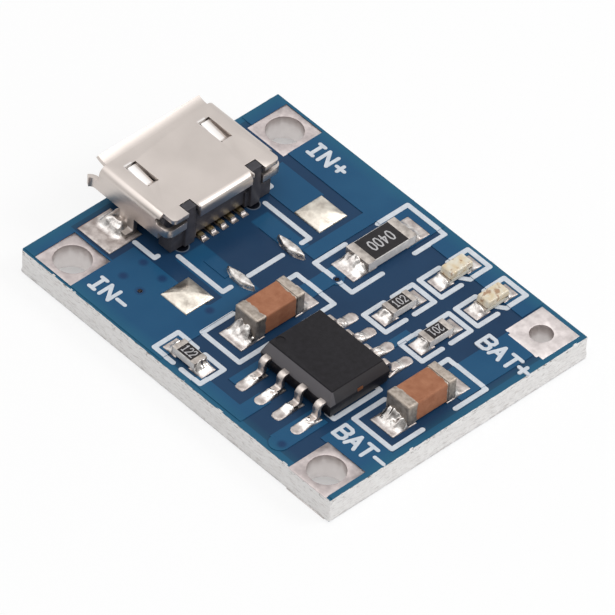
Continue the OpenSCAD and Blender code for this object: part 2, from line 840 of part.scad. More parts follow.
// Lip folded down from the upper plate between the hooks
module rear_lip() {
    middle = [port_l - lip_r, port_h - lip_r];
    along_y(-lip_half, lip_half) polygon(concat(arc(middle, lip_r, 90, 0, 8),
        [[port_l, lip_low], [port_l - sheet_t, lip_low]], arc(middle, lip_r - sheet_t, 0, 90, 6)));
}

module port_leg() {
    wall = port_w / 2;
    bend = [wall + leg_bend, sheet_t + leg_bend];
    along_x(leg_x, leg_x + leg_w) polygon(concat([[wall - sheet_t, wall_low], [wall, wall_low]],
        arc(bend, leg_bend, 180, 270, 4), [[wall + leg_foot, sheet_t], [wall + leg_foot, 0]],
        arc(bend, sheet_t + leg_bend, 270, 180, 6)));
}

// Spring tab, bent down at its root at the rear and rising again towards the mouth
function spring_drop(s, l) = s < spring_bend ? spring_dip * (1 - cos(180 * s / spring_bend)) / 2
    : spring_dip * (1 - 0.8 * (s - spring_bend) / (l - spring_bend));

module spring_tab() {
    l = spring_l - spring_slot;
    upper = [for (i = [0:16]) [spring_end - l * i / 16, port_h - spring_drop(l * i / 16, l)]];
    lower = [for (i = [16:-1:0]) upper[i] - [0, sheet_t]];
    along_y(spring_y - spring_w / 2, spring_y + spring_w / 2) {
        polygon(concat(upper, lower));
        translate([spring_end - eps, port_h - sheet_t]) square([2 * eps, sheet_t]);
    }
}

module spring_hole() {
    half = spring_w / 2 + spring_slot;
    box(spring_x, spring_end, spring_y - half, spring_y + half, port_h / 2, port_h + 1);
}

module port_shell() {
    notch = hook_w / 2 + notch_clear;
    color("silver") at_port() {
        difference() {
            union() {
                difference() {
                    along_x(flare_x, side_l) port_outline_2d(0);
                    along_x(0, side_l + 1) port_outline_2d(sheet_t);
                    box(base_l, side_l + 1, -port_w, port_w, -1, port_skirt);
                    port_relief();
                }
                rear_plate();
                rear_lip();
                port_flares();
                both_sides() port_wrap();
                both_sides() port_leg();
            }
            both_sides() spring_hole();
            both_sides() box(hook_x - notch_clear, port_l + 1, hook_y - notch, hook_y + notch, lip_low, port_h + 1);
        }
        both_sides() spring_tab();
    }
}

module contact(i) {
    y = (i - 3) * contact_pitch;
    tip_x = tongue_x + contact_back;
    color("gold") at_port() along_y(y - contact_w / 2, y + contact_w / 2) polygon([
        [tip_x, tongue_z - contact_t], [tip_x, tongue_z],
        [contact_x + contact_t, tongue_z], [contact_x + contact_t, contact_t],
        [tail_x, contact_t], [tail_x, 0], [contact_x, 0], [contact_x, tongue_z - contact_t]]);
}

module port_insulator() {
    inner = hook_y - hook_w / 2;
    outer = hook_y + hook_w / 2;
    color("dimgray") difference() {
        at_port() {
            along_x(block_x, block_end) port_outline_2d(sheet_t);
            box(base_l, block_end, -block_half, block_half, block_lift, block_step);
            box(tongue_x, block_x, -tongue_w / 2, tongue_w / 2, tongue_z, tongue_z + tongue_t);
            box(block_end, block_end + rear_wall_t, -inner, inner, rear_slot_h, lip_low);
            both_sides() box(block_end, wrap_inner, inner - foot_reach, block_half, block_lift, block_step);
            both_sides() box(hook_x, hook_x + hook_l, inner, outer, block_lift, port_h);
        }
        for (i = [1:5]) contact(i);
    }
}

// The charger package
module ic_outline(w, reach) {
    half = w / 2;
    polygon([[-half + 0.08, ic_lift], [half - 0.08, ic_lift], [half, lead_z], [half - reach, ic_h],
        [reach - half, ic_h], [-half, lead_z]]);
}

module ic_lead(n) {
    low = lead_z - lead_t / 2;
    top = lead_z + lead_t / 2;
    shoulder = [lead_out - lead_t - lead_r, low - lead_r];
    heel = [lead_out + lead_r, lead_t + lead_r];
    color("silver") translate([0, 0, board_t]) at_lead(n) along_x(-lead_w / 2, lead_w / 2)
        polygon(concat([[ic_w / 2 - lead_root, low], [ic_w / 2 - lead_root, top]],
            arc(shoulder, lead_r + lead_t, 90, 0, 6), arc(heel, lead_r, 180, 270, 5),
            [[lead_tip, lead_t], [lead_tip, 0]], arc(heel, lead_r + lead_t, 270, 180, 6),
            arc(shoulder, lead_r, 0, 90, 5)));
}

module ic_paddle() {
    color("silver") translate([ic_x, ic_y, board_t]) {
        translate([0, 0, lead_z]) cube([paddle_l, paddle_w, lead_t], center = true);
        intersection() {
            translate([0, 0, lead_z]) cube([ic_l + 1, tie_w, lead_t], center = true);
            ic_mould();
        }
    }
}

module ic_mould() {
    intersection() {
        along_x(-ic_l, ic_l) ic_outline(ic_w, ic_draft + 0.04);
        along_y(-ic_w, ic_w) ic_outline(ic_l, ic_draft);
    }
}

module ic_body() {
    color("#26262a") difference() {
        translate([ic_x, ic_y, board_t]) difference() {
            ic_mould();
            translate([dimple_d - ic_l / 2 + 0.05, 1.5 * dimple_d - ic_w / 2, ic_h - dimple_t])
                cylinder(d = dimple_d, h = 1);
        }
        for (n = [1:8]) ic_lead(n);
        ic_paddle();
    }
}

// Chip capacitors
module soft_brick(l, w, h, r) {
    intersection() {
        linear_extrude(h) soft_rect(w, l, r);
        along_y(-l / 2, l / 2) translate([0, h / 2]) soft_rect(w, h, r);
        along_x(-w / 2, w / 2) translate([0, h / 2]) soft_rect(l, h, r);
    }
}

module soft_rect(a, b, r) {
    square([a - 2 * r, b], center = true);
    square([a, b - 2 * r], center = true);
    for (sx = [-1, 1], sy = [-1, 1]) translate([sx * (a / 2 - r), sy * (b / 2 - r)]) circle(r = r, $fn = 24);
}

module cap_core() {
    translate([0, 0, cap_end_t])
        soft_brick(cap_l - 2 * cap_end_t, cap_w - 2 * cap_end_t, cap_h - 2 * cap_end_t, cap_r - cap_end_t);
}

module cap_body(x, y) {
    color("sienna") translate([x, y, board_t]) cap_core();
}

module cap_ends(x, y) {
    color("silver") translate([x, y, board_t]) difference() {
        soft_brick(cap_l, cap_w, cap_h, cap_r);
        cap_core();
        cube([cap_w + 1, cap_l - 2 * cap_end, 2 * cap_h + 1], center = true);
    }
}

// Chip resistors, drawn along Y
module res_body(l, w, h) {
    color("ivory") translate([0, 0, res_end_t])
        box(-w / 2, w / 2, res_end_t - l / 2, l / 2 - res_end_t, 0, h - res_end_t - glaze_t);
}

module res_glaze(l, w, h, end) {
    half = w / 2 - glaze_side;
    color("#202020") box(-half, half, end - l / 2, l / 2 - end, h - glaze_t, h);
}

module res_ends(l, w, h, end) {
    color("silver") for (s = [-1, 1]) scale([1, s, 1]) difference() {
        box(-w / 2, w / 2, l / 2 - end, l / 2, 0, h);
        box(-w, w, 0, l / 2 - res_end_t, res_end_t, h - glaze_t);
    }
}

module at_input_res() {
    translate([input_res_x, input_res_y, board_t]) children();
}

module at_lamp_res(x) {
    translate([x, lamp_res_y, board_t]) children();
}

module at_prog_res() {
    translate([prog_res_x, prog_res_y, board_t]) rotate(90) children();
}

// Chip lamps, drawn along Y
module at_lamp(x) {
    translate([x, lamp_y, board_t]) children();
}

module lamp_terminals() {
    t = res_end_t;
    color("gold") for (s = [-1, 1]) scale([1, s, 1]) difference() {
        box(-lamp_w / 2, lamp_w / 2, lens_l / 2, lamp_l / 2, 0, lamp_base_t);
        box(-lamp_w, lamp_w, 0, lamp_l / 2 - t, t, lamp_base_t - t);
    }
}

module lamp_base() {
    t = res_end_t;
    color("ivory") {
        box(-lamp_w / 2, lamp_w / 2, t - lamp_l / 2, lamp_l / 2 - t, t, lamp_base_t - t);
        box(-lamp_w / 2, lamp_w / 2, -lens_l / 2, lens_l / 2, lamp_base_t - t, lamp_base_t);
    }
}

module lamp_lens() {
    low = lens_l / 2;
    top = lens_l / 2 - lens_draft;
    color("wheat") along_x(-lamp_w / 2, lamp_w / 2)
        polygon([[-low, lamp_base_t], [low, lamp_base_t], [top, lamp_h], [-top, lamp_h]]);
}

// Solder: a film on each land, and a hollow wedge against each end
module film() {
    translate([0, 0, z_land]) linear_extrude(mask_t) children();
}

module wedge(l, w, h) {
    along_x(-w / 2, w / 2) polygon(concat([[0, 0]], arc([l, h], min(l, h), 270, 180, 6), [[0, h]]));
}

module chip_wedges(c, chip_l, span, w, h, turn = 0) {
    translate([c[0], c[1], board_t]) rotate(turn) both_sides()
        translate([0, chip_l / 2, 0]) wedge((span - chip_l) / 2 - 0.05, w, h);
}

module solder_port_legs() {
    color("lightgray") {
        film() leg_lands_2d();
        at_port() both_sides() translate([leg_x + leg_w / 2, port_w / 2 + leg_foot, 0])
            wedge(0.35, leg_w + 0.6, sheet_t);
    }
}

module solder_port_contacts() {
    color("lightgray") {
        film() contact_lands_2d();
        at_port() for (i = [-2:2]) translate([tail_x, i * contact_pitch, 0])
            rotate(-90) wedge(0.2, contact_w, contact_t);
    }
}

module solder_ic() {
    color("lightgray") {
        film() ic_lands_2d();
        translate([0, 0, board_t]) for (n = [1:8]) at_lead(n)
            translate([0, lead_tip, 0]) wedge(0.5, lead_w, lead_t);
    }
}

module solder_capacitors() {
    color("lightgray") {
        film() capacitor_lands_2d();
        chip_wedges([cap_in_x, cap_in_y], cap_l, big_span, cap_w - 0.3, 2 * fillet_h);
        chip_wedges([cap_bat_x, cap_bat_y], cap_l, big_span, cap_w - 0.3, 2 * fillet_h);
    }
}

module solder_resistors() {
    color("lightgray") {
        film() resistor_lands_2d();
        chip_wedges([input_res_x, input_res_y], big_res_l, big_span, big_res_w - 0.2, fillet_h);
        chip_wedges([column_a_x, lamp_res_y], res_l, small_span, res_w - 0.1, fillet_h);
        chip_wedges([column_b_x, lamp_res_y], res_l, small_span, res_w - 0.1, fillet_h);
        chip_wedges([prog_res_x, prog_res_y], res_l, small_span, res_w - 0.1, fillet_h, 90);
    }
}

module solder_leds() {
    color("lightgray") {
        film() lamp_lands_2d();
        for (x = [column_a_x, column_b_x])
            chip_wedges([x, lamp_y], lamp_l, small_span, lamp_w - 0.1, lamp_base_t);
    }
}

module solder_spare_lands() {
    color("lightgray") {
        film() spare_lands_2d();
        for (s = [-1, 1]) translate([spare_x, pattern_y + s * spare_y, board_t])
            soft_brick(spare_w - 0.1, spare_w - 0.1, 0.2, 0.09);
    }
}

module solder_spare_bars() {
    color("lightgray") {
        film() bar_lands_2d();
        for (s = [-1, 1]) translate([bar_x, pattern_y + s * bar_y, board_t]) intersection() {
            along_x(-bar_l / 2, bar_l / 2) polygon(arc([0, 0], bar_w / 2, 0, 180, 12));
            linear_extrude(bar_w) pointed_2d(bar_l - 0.1, bar_w - 0.04);
        }
    }
}

board_laminate();
top_copper();
bottom_copper();
top_mask();
bottom_mask();
silkscreen();
terminal(0);  // terminal_in_minus
terminal(1);  // terminal_in_plus
terminal(2);  // terminal_bat_minus
terminal(3);  // terminal_bat_plus
via_barrels();
port_shell();
port_insulator();
contact(1);  // port_contact_1
contact(2);  // port_contact_2
contact(3);  // port_contact_3
contact(4);  // port_contact_4
contact(5);  // port_contact_5
ic_body();
ic_paddle();
ic_lead(1);  // ic_lead_1
ic_lead(2);  // ic_lead_2
ic_lead(3);  // ic_lead_3
ic_lead(4);  // ic_lead_4
ic_lead(5);  // ic_lead_5
ic_lead(6);  // ic_lead_6
ic_lead(7);  // ic_lead_7
ic_lead(8);  // ic_lead_8
cap_body(cap_in_x, cap_in_y);  // cap_in_body
cap_ends(cap_in_x, cap_in_y);  // cap_in_ends
cap_body(cap_bat_x, cap_bat_y);  // cap_bat_body
cap_ends(cap_bat_x, cap_bat_y);  // cap_bat_ends
at_input_res() res_body(big_res_l, big_res_w, big_res_h);  // input_resistor_body
at_input_res() res_glaze(big_res_l, big_res_w, big_res_h, big_res_end);  // input_resistor_glaze
at_input_res() res_ends(big_res_l, big_res_w, big_res_h, big_res_end);  // input_resistor_ends
at_lamp_res(column_a_x) res_body(res_l, res_w, res_h);  // led_resistor_a_body
at_lamp_res(column_a_x) res_glaze(res_l, res_w, res_h, res_end);  // led_resistor_a_glaze
at_lamp_res(column_a_x) res_ends(res_l, res_w, res_h, res_end);  // led_resistor_a_ends
at_lamp_res(column_b_x) res_body(res_l, res_w, res_h);  // led_resistor_b_body
at_lamp_res(column_b_x) res_glaze(res_l, res_w, res_h, res_end);  // led_resistor_b_glaze
at_lamp_res(column_b_x) res_ends(res_l, res_w, res_h, res_end);  // led_resistor_b_ends
at_prog_res() res_body(res_l, res_w, res_h);  // program_resistor_body
at_prog_res() res_glaze(res_l, res_w, res_h, res_end);  // program_resistor_glaze
at_prog_res() res_ends(res_l, res_w, res_h, res_end);  // program_resistor_ends
at_lamp(column_a_x) lamp_base();  // led_a_base
at_lamp(column_a_x) lamp_lens();  // led_a_lens
at_lamp(column_a_x) lamp_terminals();  // led_a_terminals
at_lamp(column_b_x) lamp_base();  // led_b_base
at_lamp(column_b_x) lamp_lens();  // led_b_lens
at_lamp(column_b_x) lamp_terminals();  // led_b_terminals
solder_port_legs();
solder_port_contacts();
solder_ic();
solder_capacitors();
solder_resistors();
solder_leds();
solder_spare_lands();
solder_spare_bars();
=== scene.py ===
# %% [markdown]
# A small charger board, dressed for a studio photograph. The solids come from the CAD model and give every
# place and size. This lesson adds what the CAD leaves out: soft edges, heaped solder, printed names and the
# finish of each surface. All lengths below are in millimetres and are turned into metres where a mesh is made.

import math

import bmesh
import bpy
from mathutils import Matrix, Vector, noise


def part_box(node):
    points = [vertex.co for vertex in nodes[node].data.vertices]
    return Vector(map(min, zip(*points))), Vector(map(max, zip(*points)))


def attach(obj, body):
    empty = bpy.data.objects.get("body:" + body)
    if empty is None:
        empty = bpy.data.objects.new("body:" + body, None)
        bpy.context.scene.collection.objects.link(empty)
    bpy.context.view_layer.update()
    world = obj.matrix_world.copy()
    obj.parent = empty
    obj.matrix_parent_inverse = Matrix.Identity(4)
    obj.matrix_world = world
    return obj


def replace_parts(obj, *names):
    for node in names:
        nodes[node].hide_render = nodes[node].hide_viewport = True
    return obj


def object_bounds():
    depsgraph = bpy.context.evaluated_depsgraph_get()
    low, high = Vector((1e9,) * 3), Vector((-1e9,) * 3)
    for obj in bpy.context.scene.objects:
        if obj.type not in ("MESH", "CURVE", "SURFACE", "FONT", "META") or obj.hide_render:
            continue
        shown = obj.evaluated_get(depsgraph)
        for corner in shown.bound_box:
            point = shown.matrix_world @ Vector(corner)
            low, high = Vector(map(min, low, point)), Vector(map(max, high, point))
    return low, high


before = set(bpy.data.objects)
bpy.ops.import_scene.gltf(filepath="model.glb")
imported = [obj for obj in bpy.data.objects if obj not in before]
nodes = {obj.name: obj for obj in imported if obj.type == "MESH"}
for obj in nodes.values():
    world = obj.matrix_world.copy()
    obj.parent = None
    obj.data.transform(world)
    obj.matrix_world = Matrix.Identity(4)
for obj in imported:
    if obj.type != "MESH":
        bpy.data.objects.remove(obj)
cad_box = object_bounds()
MM = 0.001


def box_mm(name):
    """The lowest and the highest corner of a solid, in millimetres."""
    return tuple(Vector(corner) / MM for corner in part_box(name))


half_x, half_y = (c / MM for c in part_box("board_laminate")[1][:2])
print(len(nodes), "solids, box", [round(c * 1000, 2) for corner in cad_box for c in corner])

# %% [markdown]
# The camera stands where the photographer's stood. Its turn, tilt and roll came from the board's own straight
# edges in the photograph, and the long lens keeps parallel edges almost parallel, as they are there.

# %% Camera
TURN, TILT, ROLL = math.radians(-45.907), math.radians(45.019), math.radians(4.259)
DISTANCE, LENS = 450.0, 547.3
AIM_RIGHT, AIM_UP = 0.259, 0.327

back = Vector((math.cos(TILT) * math.cos(TURN), math.cos(TILT) * math.sin(TURN), math.sin(TILT)))
level = Vector((0, 0, 1)).cross(back).normalized()
upright = back.cross(level)
right = level * math.cos(ROLL) + upright * math.sin(ROLL)
up = upright * math.cos(ROLL) - level * math.sin(ROLL)

camera_data = bpy.data.cameras.new("camera")
camera = bpy.data.objects.new("camera", camera_data)
bpy.context.scene.collection.objects.link(camera)
camera_data.lens, camera_data.sensor_width = LENS, 36
camera_data.clip_start, camera_data.clip_end = 0.01, 10
turn = Matrix((right, up, back)).transposed().to_4x4()
camera.matrix_world = Matrix.Translation((right * AIM_RIGHT + up * AIM_UP + back * DISTANCE) * MM) @ turn
bpy.context.scene.camera = camera
print("camera at", [round(c, 3) for c in camera.matrix_world.translation])

# %% [markdown]
# A finish is a node tree, and its sums are easier to read as Python than as boxes and wires. Wire holds one
# output on its way through a tree, and Python's own signs on it add the Math nodes. Adding each Math node by
# hand would give the same tree, but nobody could read the sum in it.

# %% Sums in a node tree
class Wire:
    """One output in a node tree."""

    def __init__(self, graph, socket):
        self.graph, self.socket = graph, socket

    def maths(self, operation, *parts):
        return self.graph.node("ShaderNodeMath", {"operation": operation}, dict(enumerate(parts)))

    def __add__(self, other): return self.maths("ADD", self, other)
    def __radd__(self, other): return self.maths("ADD", other, self)
    def __sub__(self, other): return self.maths("SUBTRACT", self, other)
    def __rsub__(self, other): return self.maths("SUBTRACT", other, self)
    def __mul__(self, other): return self.maths("MULTIPLY", self, other)
    def __abs__(self): return self.maths("ABSOLUTE", self)
    def above(self, level): return self.maths("GREATER_THAN", self, level)
    def highest(self, other): return self.maths("MAXIMUM", self, other)


# %% A tree and its nodes
class Graph:
    """A node tree to which nodes are added by type, settings and sockets."""

    def __init__(self, tree):
        self.tree = tree

    def put(self, socket, value):
        if isinstance(value, Wire):
            self.tree.links.new(value.socket, socket)
        else:
            socket.default_value = value

    def node(self, kind, settings=None, sockets=None, out=0):
        made = self.tree.nodes.new(kind)
        for key, value in (settings or {}).items():
            setattr(made, key, value)
        for key, value in (sockets or {}).items():
            self.put(made.inputs[key], value)
        return Wire(self, made.outputs[out])

    def span(self, value, low, high, to_low=0.0, to_high=1.0):
        limits = {"From Min": low, "From Max": high, "To Min": to_low, "To Max": to_high}
        return self.node("ShaderNodeMapRange", {"clamp": True}, {"Value": value, **limits})


# %% [markdown]
# A finish is a tree with one surface shader. Its patterns read the place of a point on the object in
# millimetres, so they need no unwrapped map and stay put when the object is moved.

# %% One material
class Finish(Graph):
    """A material built on one Principled shader."""

    def __init__(self, name, sockets):
        self.material = bpy.data.materials.new(name)
        self.material.use_nodes = True
        super().__init__(self.material.node_tree)
        self.shader = self.tree.nodes["Principled BSDF"]
        for key, value in sockets.items():
            self.put(self.shader.inputs[key], value)

    def place(self, scale=(1000, 1000, 1000)):
        spot = self.node("ShaderNodeTexCoord", out="Object")
        return self.node("ShaderNodeMapping", None, {"Vector": spot, "Scale": scale})

    def axis(self, letter):
        return self.node("ShaderNodeSeparateXYZ", None, {0: self.place()}, out=letter)

    def patch(self, x_range, y_range, soft=0.05):
        """1 inside an upright rectangle on the board, with soft edges."""
        share = 1
        for letter, (low, high) in (("X", x_range), ("Y", y_range)):
            level = self.axis(letter)
            share = self.span(level, low - soft, low + soft) * share
            share = self.span(level, high + soft, high - soft) * share
        return share

    def apart(self, x, y):
        """The distance of a point from an upright line through the board."""
        return self.node("ShaderNodeVectorMath", {"operation": "DISTANCE"},
                         {0: self.place((1000, 1000, 0)), 1: (x, y, 0)}, out="Value")

    def noise(self, scale, detail=3.0, rough=0.5, stretch=(1, 1, 1)):
        spot = self.place(tuple(1000 * s for s in stretch))
        return self.node("ShaderNodeTexNoise", None,
                         {"Vector": spot, "Scale": scale, "Detail": detail, "Roughness": rough})

    def mix(self, share, first, second):
        return self.node("ShaderNodeMix", {"data_type": "RGBA"}, {0: share, 6: first, 7: second}, out=2)

    def feed(self, key, value):
        self.put(self.shader.inputs[key], value)
        return self

    def bump(self, height, strength, distance):
        normal = self.node("ShaderNodeBump", None,
                           {"Height": height, "Strength": strength, "Distance": distance * MM})
        return self.feed("Normal", normal)


def tone(red, green, blue):
    """A colour given as a screen shows it, from 0 to 255, as the shader needs it."""
    def straight(c):
        c = c / 255
        return c / 12.92 if c <= 0.04045 else ((c + 0.055) / 1.055) ** 2.4
    return (straight(red), straight(green), straight(blue), 1.0)


# %% [markdown]
# The mask is a thin blue lacquer. Over copper it looks lighter than over the bare laminate, and the solid
# already steps up where copper lies under it, so the height of a point tells which of the two it is. Towards
# the board's rim the lacquer thins and turns a little green, and where it closes a via it sinks in and looks
# darker. Behind the socket two peg holes are painted on it, a dark disc of painted shade in a pale ring of
# painted highlight, and between the contacts' tails it is painted near black, as painted shade.

# %% Where the vias are
def islands(mesh):
    """The middles of a mesh's loose parts, in millimetres."""
    loose = bmesh.new()
    loose.from_mesh(mesh)
    bmesh.ops.remove_doubles(loose, verts=loose.verts, dist=1e-7)
    left, middles = set(loose.verts), []
    while left:
        front = [left.pop()]
        found = list(front)
        while front:
            for edge in front.pop().link_edges:
                for vert in edge.verts:
                    if vert in left:
                        left.remove(vert)
                        front.append(vert)
                        found.append(vert)
        middles.append(sum((v.co for v in found), Vector()) / len(found) / MM)
    loose.free()
    return middles


via_spots = islands(nodes["via_barrels"].data)
print(len(via_spots), "vias under or through the mask")

# %% Finish of the mask
# Lacquer over copper lies above this height. The other places are X and Y ranges and points on the board.
LIFTED = 1.464
MORE_COPPER = (((-5.2, -2.2), (1.35, 2.45)), ((-5.6, -1.6), (-3.2, -1.45)))
PEG_HOLES = ((-6.1, -2.38), (-6.04, 2.24))
# Between the contacts' tails the mask is painted near black, as painted shade.
TAIL_SHADE = ((-6.6, -6.1), (-1.45, 1.85))

mask = Finish("blue_lacquer", {"Roughness": 0.34, "Specular IOR Level": 0.16})
over_copper = mask.axis("Z").above(LIFTED)
for x_range, y_range in MORE_COPPER:
    over_copper = over_copper.highest(mask.patch(x_range, y_range))
drift = mask.noise(0.35, 2.0)
bare_tone = mask.mix(drift, tone(24, 51, 82), tone(37, 72, 106))
copper_tone = mask.mix(drift, tone(24, 75, 115), tone(42, 94, 130))
body_tone = mask.mix(over_copper, bare_tone, copper_tone)
outward = (abs(mask.axis("X")) - half_x).highest(abs(mask.axis("Y")) - half_y)
body_tone = mask.mix(outward.above(-0.45), body_tone, copper_tone)
body_tone = mask.mix(mask.span(outward, -0.9, 0) * 0.45, body_tone, tone(44, 112, 132))
pits = None
for spot in via_spots:
    pit = mask.span(mask.apart(spot.x, spot.y), 0.32, 0.12)
    pits = pit if pits is None else pits.highest(pit)
body_tone = mask.mix(pits * 0.6, body_tone, tone(24, 34, 78))
# Each peg hole is painted: a pale ring as painted highlight round a dark disc of painted shade.
for x, y in PEG_HOLES:
    body_tone = mask.mix(mask.span(mask.apart(x, y), 0.42, 0.37) * 0.7, body_tone, tone(126, 132, 140))
    body_tone = mask.mix(mask.span(mask.apart(x, y), 0.36, 0.32), body_tone, tone(14, 16, 24))
# Painted shade between the contacts' tails.
mask.feed("Base Color", mask.mix(mask.patch(*TAIL_SHADE) * 0.85, body_tone, tone(16, 16, 22)))
mask.bump(mask.noise(2.2, 3.0), 0.12, 0.02)
mask_finish = mask.material
print("lacquer:", len(mask.tree.nodes), "nodes")

# %% [markdown]
# The cut edge of the board shows glass cloth in resin: pale cream with grey and tan clouds and a rough skin
# left by the router. Noise at two sizes gives the clouds, and a finer one the bump. The dark crumbs are
# stretched along the board, as the cut threads of the cloth are, and crowd near its top.

# %% Finish of the laminate
laminate = Finish("cut_laminate", {"Roughness": 0.7, "Specular IOR Level": 0.3})
clouds = laminate.noise(1.6, 4.0, 0.6, (1, 1, 2.2))
streaks = laminate.span(laminate.noise(3.5, 3.0, 0.6, (0.5, 0.5, 3)), 0.54, 0.72)
crumbs = laminate.span(laminate.noise(5.5, 4.0, 0.7, (0.45, 0.45, 1.5)), 0.55, 0.65)
upper = laminate.span(laminate.axis("Z"), 1.05, 1.4, 0.25, 1.0)
pale = laminate.mix(clouds, tone(234, 231, 229), tone(251, 250, 249))
pale = laminate.mix(streaks * 0.45, pale, tone(182, 172, 166))
laminate.feed("Base Color", laminate.mix(crumbs * upper * 0.85, pale, tone(112, 104, 100)))
laminate.bump(laminate.noise(7.0, 5.0, 0.65), 0.6, 0.05)
laminate_finish = laminate.material
print("laminate:", len(laminate.tree.nodes), "nodes")

# %% [markdown]
# All the bare metal here is tin, steel, copper or solder. They differ in tint, in how rough they are and in how
# their skin is broken up, so one function makes them all. The roughness changes in soft patches, and the bump
# makes the patches catch the light at different angles. A land's hole gets a brighter sleeve, as painted light
# on its shaded wall.

# %% Finishes of the plain metals
CAP_TIN = (tone(154, 143, 133), tone(184, 174, 164))
SLEEVE_PAINTED_LIGHT = tone(206, 200, 198)


def metal(name, dull, bright, rough, patch, skin, skin_depth, sleeve_light=None):
    """A bare metal: two tints, a range of roughness, patches per millimetre, a fine skin and a brighter tint
    painted into a land's hole as painted light.
    """
    made = Finish(name, {"Metallic": 1.0})
    patches = made.noise(patch, 3.0, 0.55)
    tint = made.mix(made.span(patches, 0.35, 0.65), dull, bright)
    roughness = made.span(patches, 0.3, 0.7, rough[0], rough[1])
    if sleeve_light:
        # The hole's wall is painted brighter, as painted light.
        inside = made.span(made.axis("Z"), 1.42, 1.3)
        tint, roughness = made.mix(inside, tint, sleeve_light), roughness - inside * 0.12
    made.feed("Base Color", tint).feed("Roughness", roughness)
    made.bump(made.noise(skin, 3.0, 0.6), skin_depth[0], skin_depth[1])
    return made.material


land_finish = metal("tinned_land", tone(184, 174, 173), tone(202, 192, 190), (0.42, 0.55), 3.0, 8.0,
                    (0.3, 0.02), SLEEVE_PAINTED_LIGHT)
bright_land_finish = metal("bright_land", tone(206, 197, 195), tone(224, 216, 214), (0.42, 0.55), 3.0, 8.0,
                           (0.3, 0.02), SLEEVE_PAINTED_LIGHT)
cushion_finish = metal("spare_tin", tone(186, 177, 166), tone(232, 225, 213), (0.3, 0.5), 1.7, 5.0, (0.4, 0.04))
lead_finish = metal("tinned_lead", tone(178, 168, 162), tone(216, 206, 200), (0.3, 0.44), 3.0, 7.0, (0.3, 0.02))
cap_end_finish = metal("capacitor_end", *CAP_TIN, (0.46, 0.62), 4.6, 8.0, (0.6, 0.03))
chip_end_finish = metal("resistor_end", tone(164, 156, 150), tone(198, 190, 183), (0.38, 0.52), 3.0, 9.0,
                        (0.3, 0.02))
copper_finish = metal("copper", tone(170, 110, 76), tone(190, 130, 92), (0.35, 0.5), 2.0, 6.0, (0.1, 0.01))
print(len(bpy.data.materials), "materials so far")

# %% [markdown]
# Three metals change along the part that wears them. The socket's shell is smooth, but its feet are dull and
# painted darker, as painted shade, and its two spring tabs are tinted near white. The contacts are flashed with
# gold, and painted shade darkens the tails where they leave the plastic. The flat part of a solder joint sets
# dull and mottled, and what stands up from it stays bright. The place of a point tells these apart, so one
# material each is enough.

# %% Finish of the socket's shell
TAB_X, TAB_Y, TAB_HALF = (-10.15, -8.45), 2.4, 0.24

shell = Finish("socket_shell", {"Metallic": 1.0})
tinned = shell.span(shell.noise(0.5), 0.35, 0.65)
# Below this height the feet are painted darker, as painted shade, and made rougher.
dull_shaded_feet = shell.span(shell.axis("Z"), 1.86, 1.74)
shell_tone = shell.mix(tinned, tone(206, 197, 191), tone(211, 202, 196))
# The two spring tabs are tinted near white on top.
for y in (-TAB_Y, TAB_Y):
    whitened_tabs = shell.patch(TAB_X, (y - TAB_HALF, y + TAB_HALF)) * shell.axis("Z").above(3.2)
    shell_tone = shell.mix(whitened_tabs, shell_tone, tone(250, 246, 243))
shell.feed("Base Color", shell.mix(dull_shaded_feet, shell_tone, tone(162, 155, 150)))
shell.feed("Roughness", 0.34 + tinned * 0.04 + dull_shaded_feet * 0.14)
shell.bump(shell.noise(9.0, 3.0, 0.6), 0.05, 0.01)
shell_finish = shell.material
print("shell:", len(shell.tree.nodes), "nodes")

# %% Finish of the gold
gold = Finish("gold_flash", {"Metallic": 1.0})
worn_thin = gold.span(gold.noise(3.0), 0.35, 0.65)
tails = gold.axis("X")
# Painted shade darkens and roughens the tails where they leave the plastic.
gold_tail_shade = gold.span(tails, -6.6, -6.5) * gold.span(tails, -6.05, -6.15) * 0.75
gold_tone = gold.mix(worn_thin, tone(196, 166, 112), tone(238, 218, 172))
gold.feed("Base Color", gold.mix(gold_tail_shade, gold_tone, tone(60, 48, 36)))
gold.feed("Roughness", 0.24 + worn_thin * 0.1 + gold_tail_shade * 0.2)
gold.bump(gold.noise(8.0, 3.0, 0.6), 0.2, 0.02)
gold_finish = gold.material
print("gold:", len(gold.tree.nodes), "nodes")

# %% Finish of the solder
solder = Finish("solder", {"Metallic": 1.0})
patches = solder.noise(2.8, 3.0, 0.55)
heaped = solder.span(solder.axis("Z") + solder.noise(3.0, 2.0) * 0.04, 1.55, 1.6)
dull_tone = solder.mix(solder.span(patches, 0.35, 0.65), tone(164, 154, 150), tone(206, 198, 194))
bright_tone = solder.mix(solder.span(patches, 0.35, 0.65), tone(176, 169, 165), tone(236, 232, 228))
solder.feed("Base Color", solder.mix(heaped, dull_tone, bright_tone))
solder.feed("Roughness", solder.span(patches, 0.3, 0.7, 0.16, 0.3) + (1 - heaped) * 0.26)
solder.bump(solder.noise(4.4, 3.0, 0.6), 0.5, 0.04)
solder_finish = solder.material
print("solder:", len(solder.tree.nodes), "nodes")

# %% [markdown]
# Moulded and fired parts don't shine like metal. The package is black epoxy with a sandy skin, the socket's
# insulator a smoother black plastic, the capacitors brown ceramic, the resistors white ceramic under black
# glaze, and the lamps clear resin on a white base. Each gets a grain of its own size.

# %% Finishes with one grain
def moulded(name, dark, light, rough, grain, depth, shine=0.5):
    """A moulded or fired skin: two tints, one roughness, a grain in marks per millimetre and a shine."""
    made = Finish(name, {"Roughness": rough, "Specular IOR Level": shine})
    made.feed("Base Color", made.mix(made.span(made.noise(grain * 0.4, 4.0, 0.6), 0.3, 0.7), dark, light))
    made.bump(made.noise(grain, 4.0, 0.65), depth, 0.02)
    return made.material


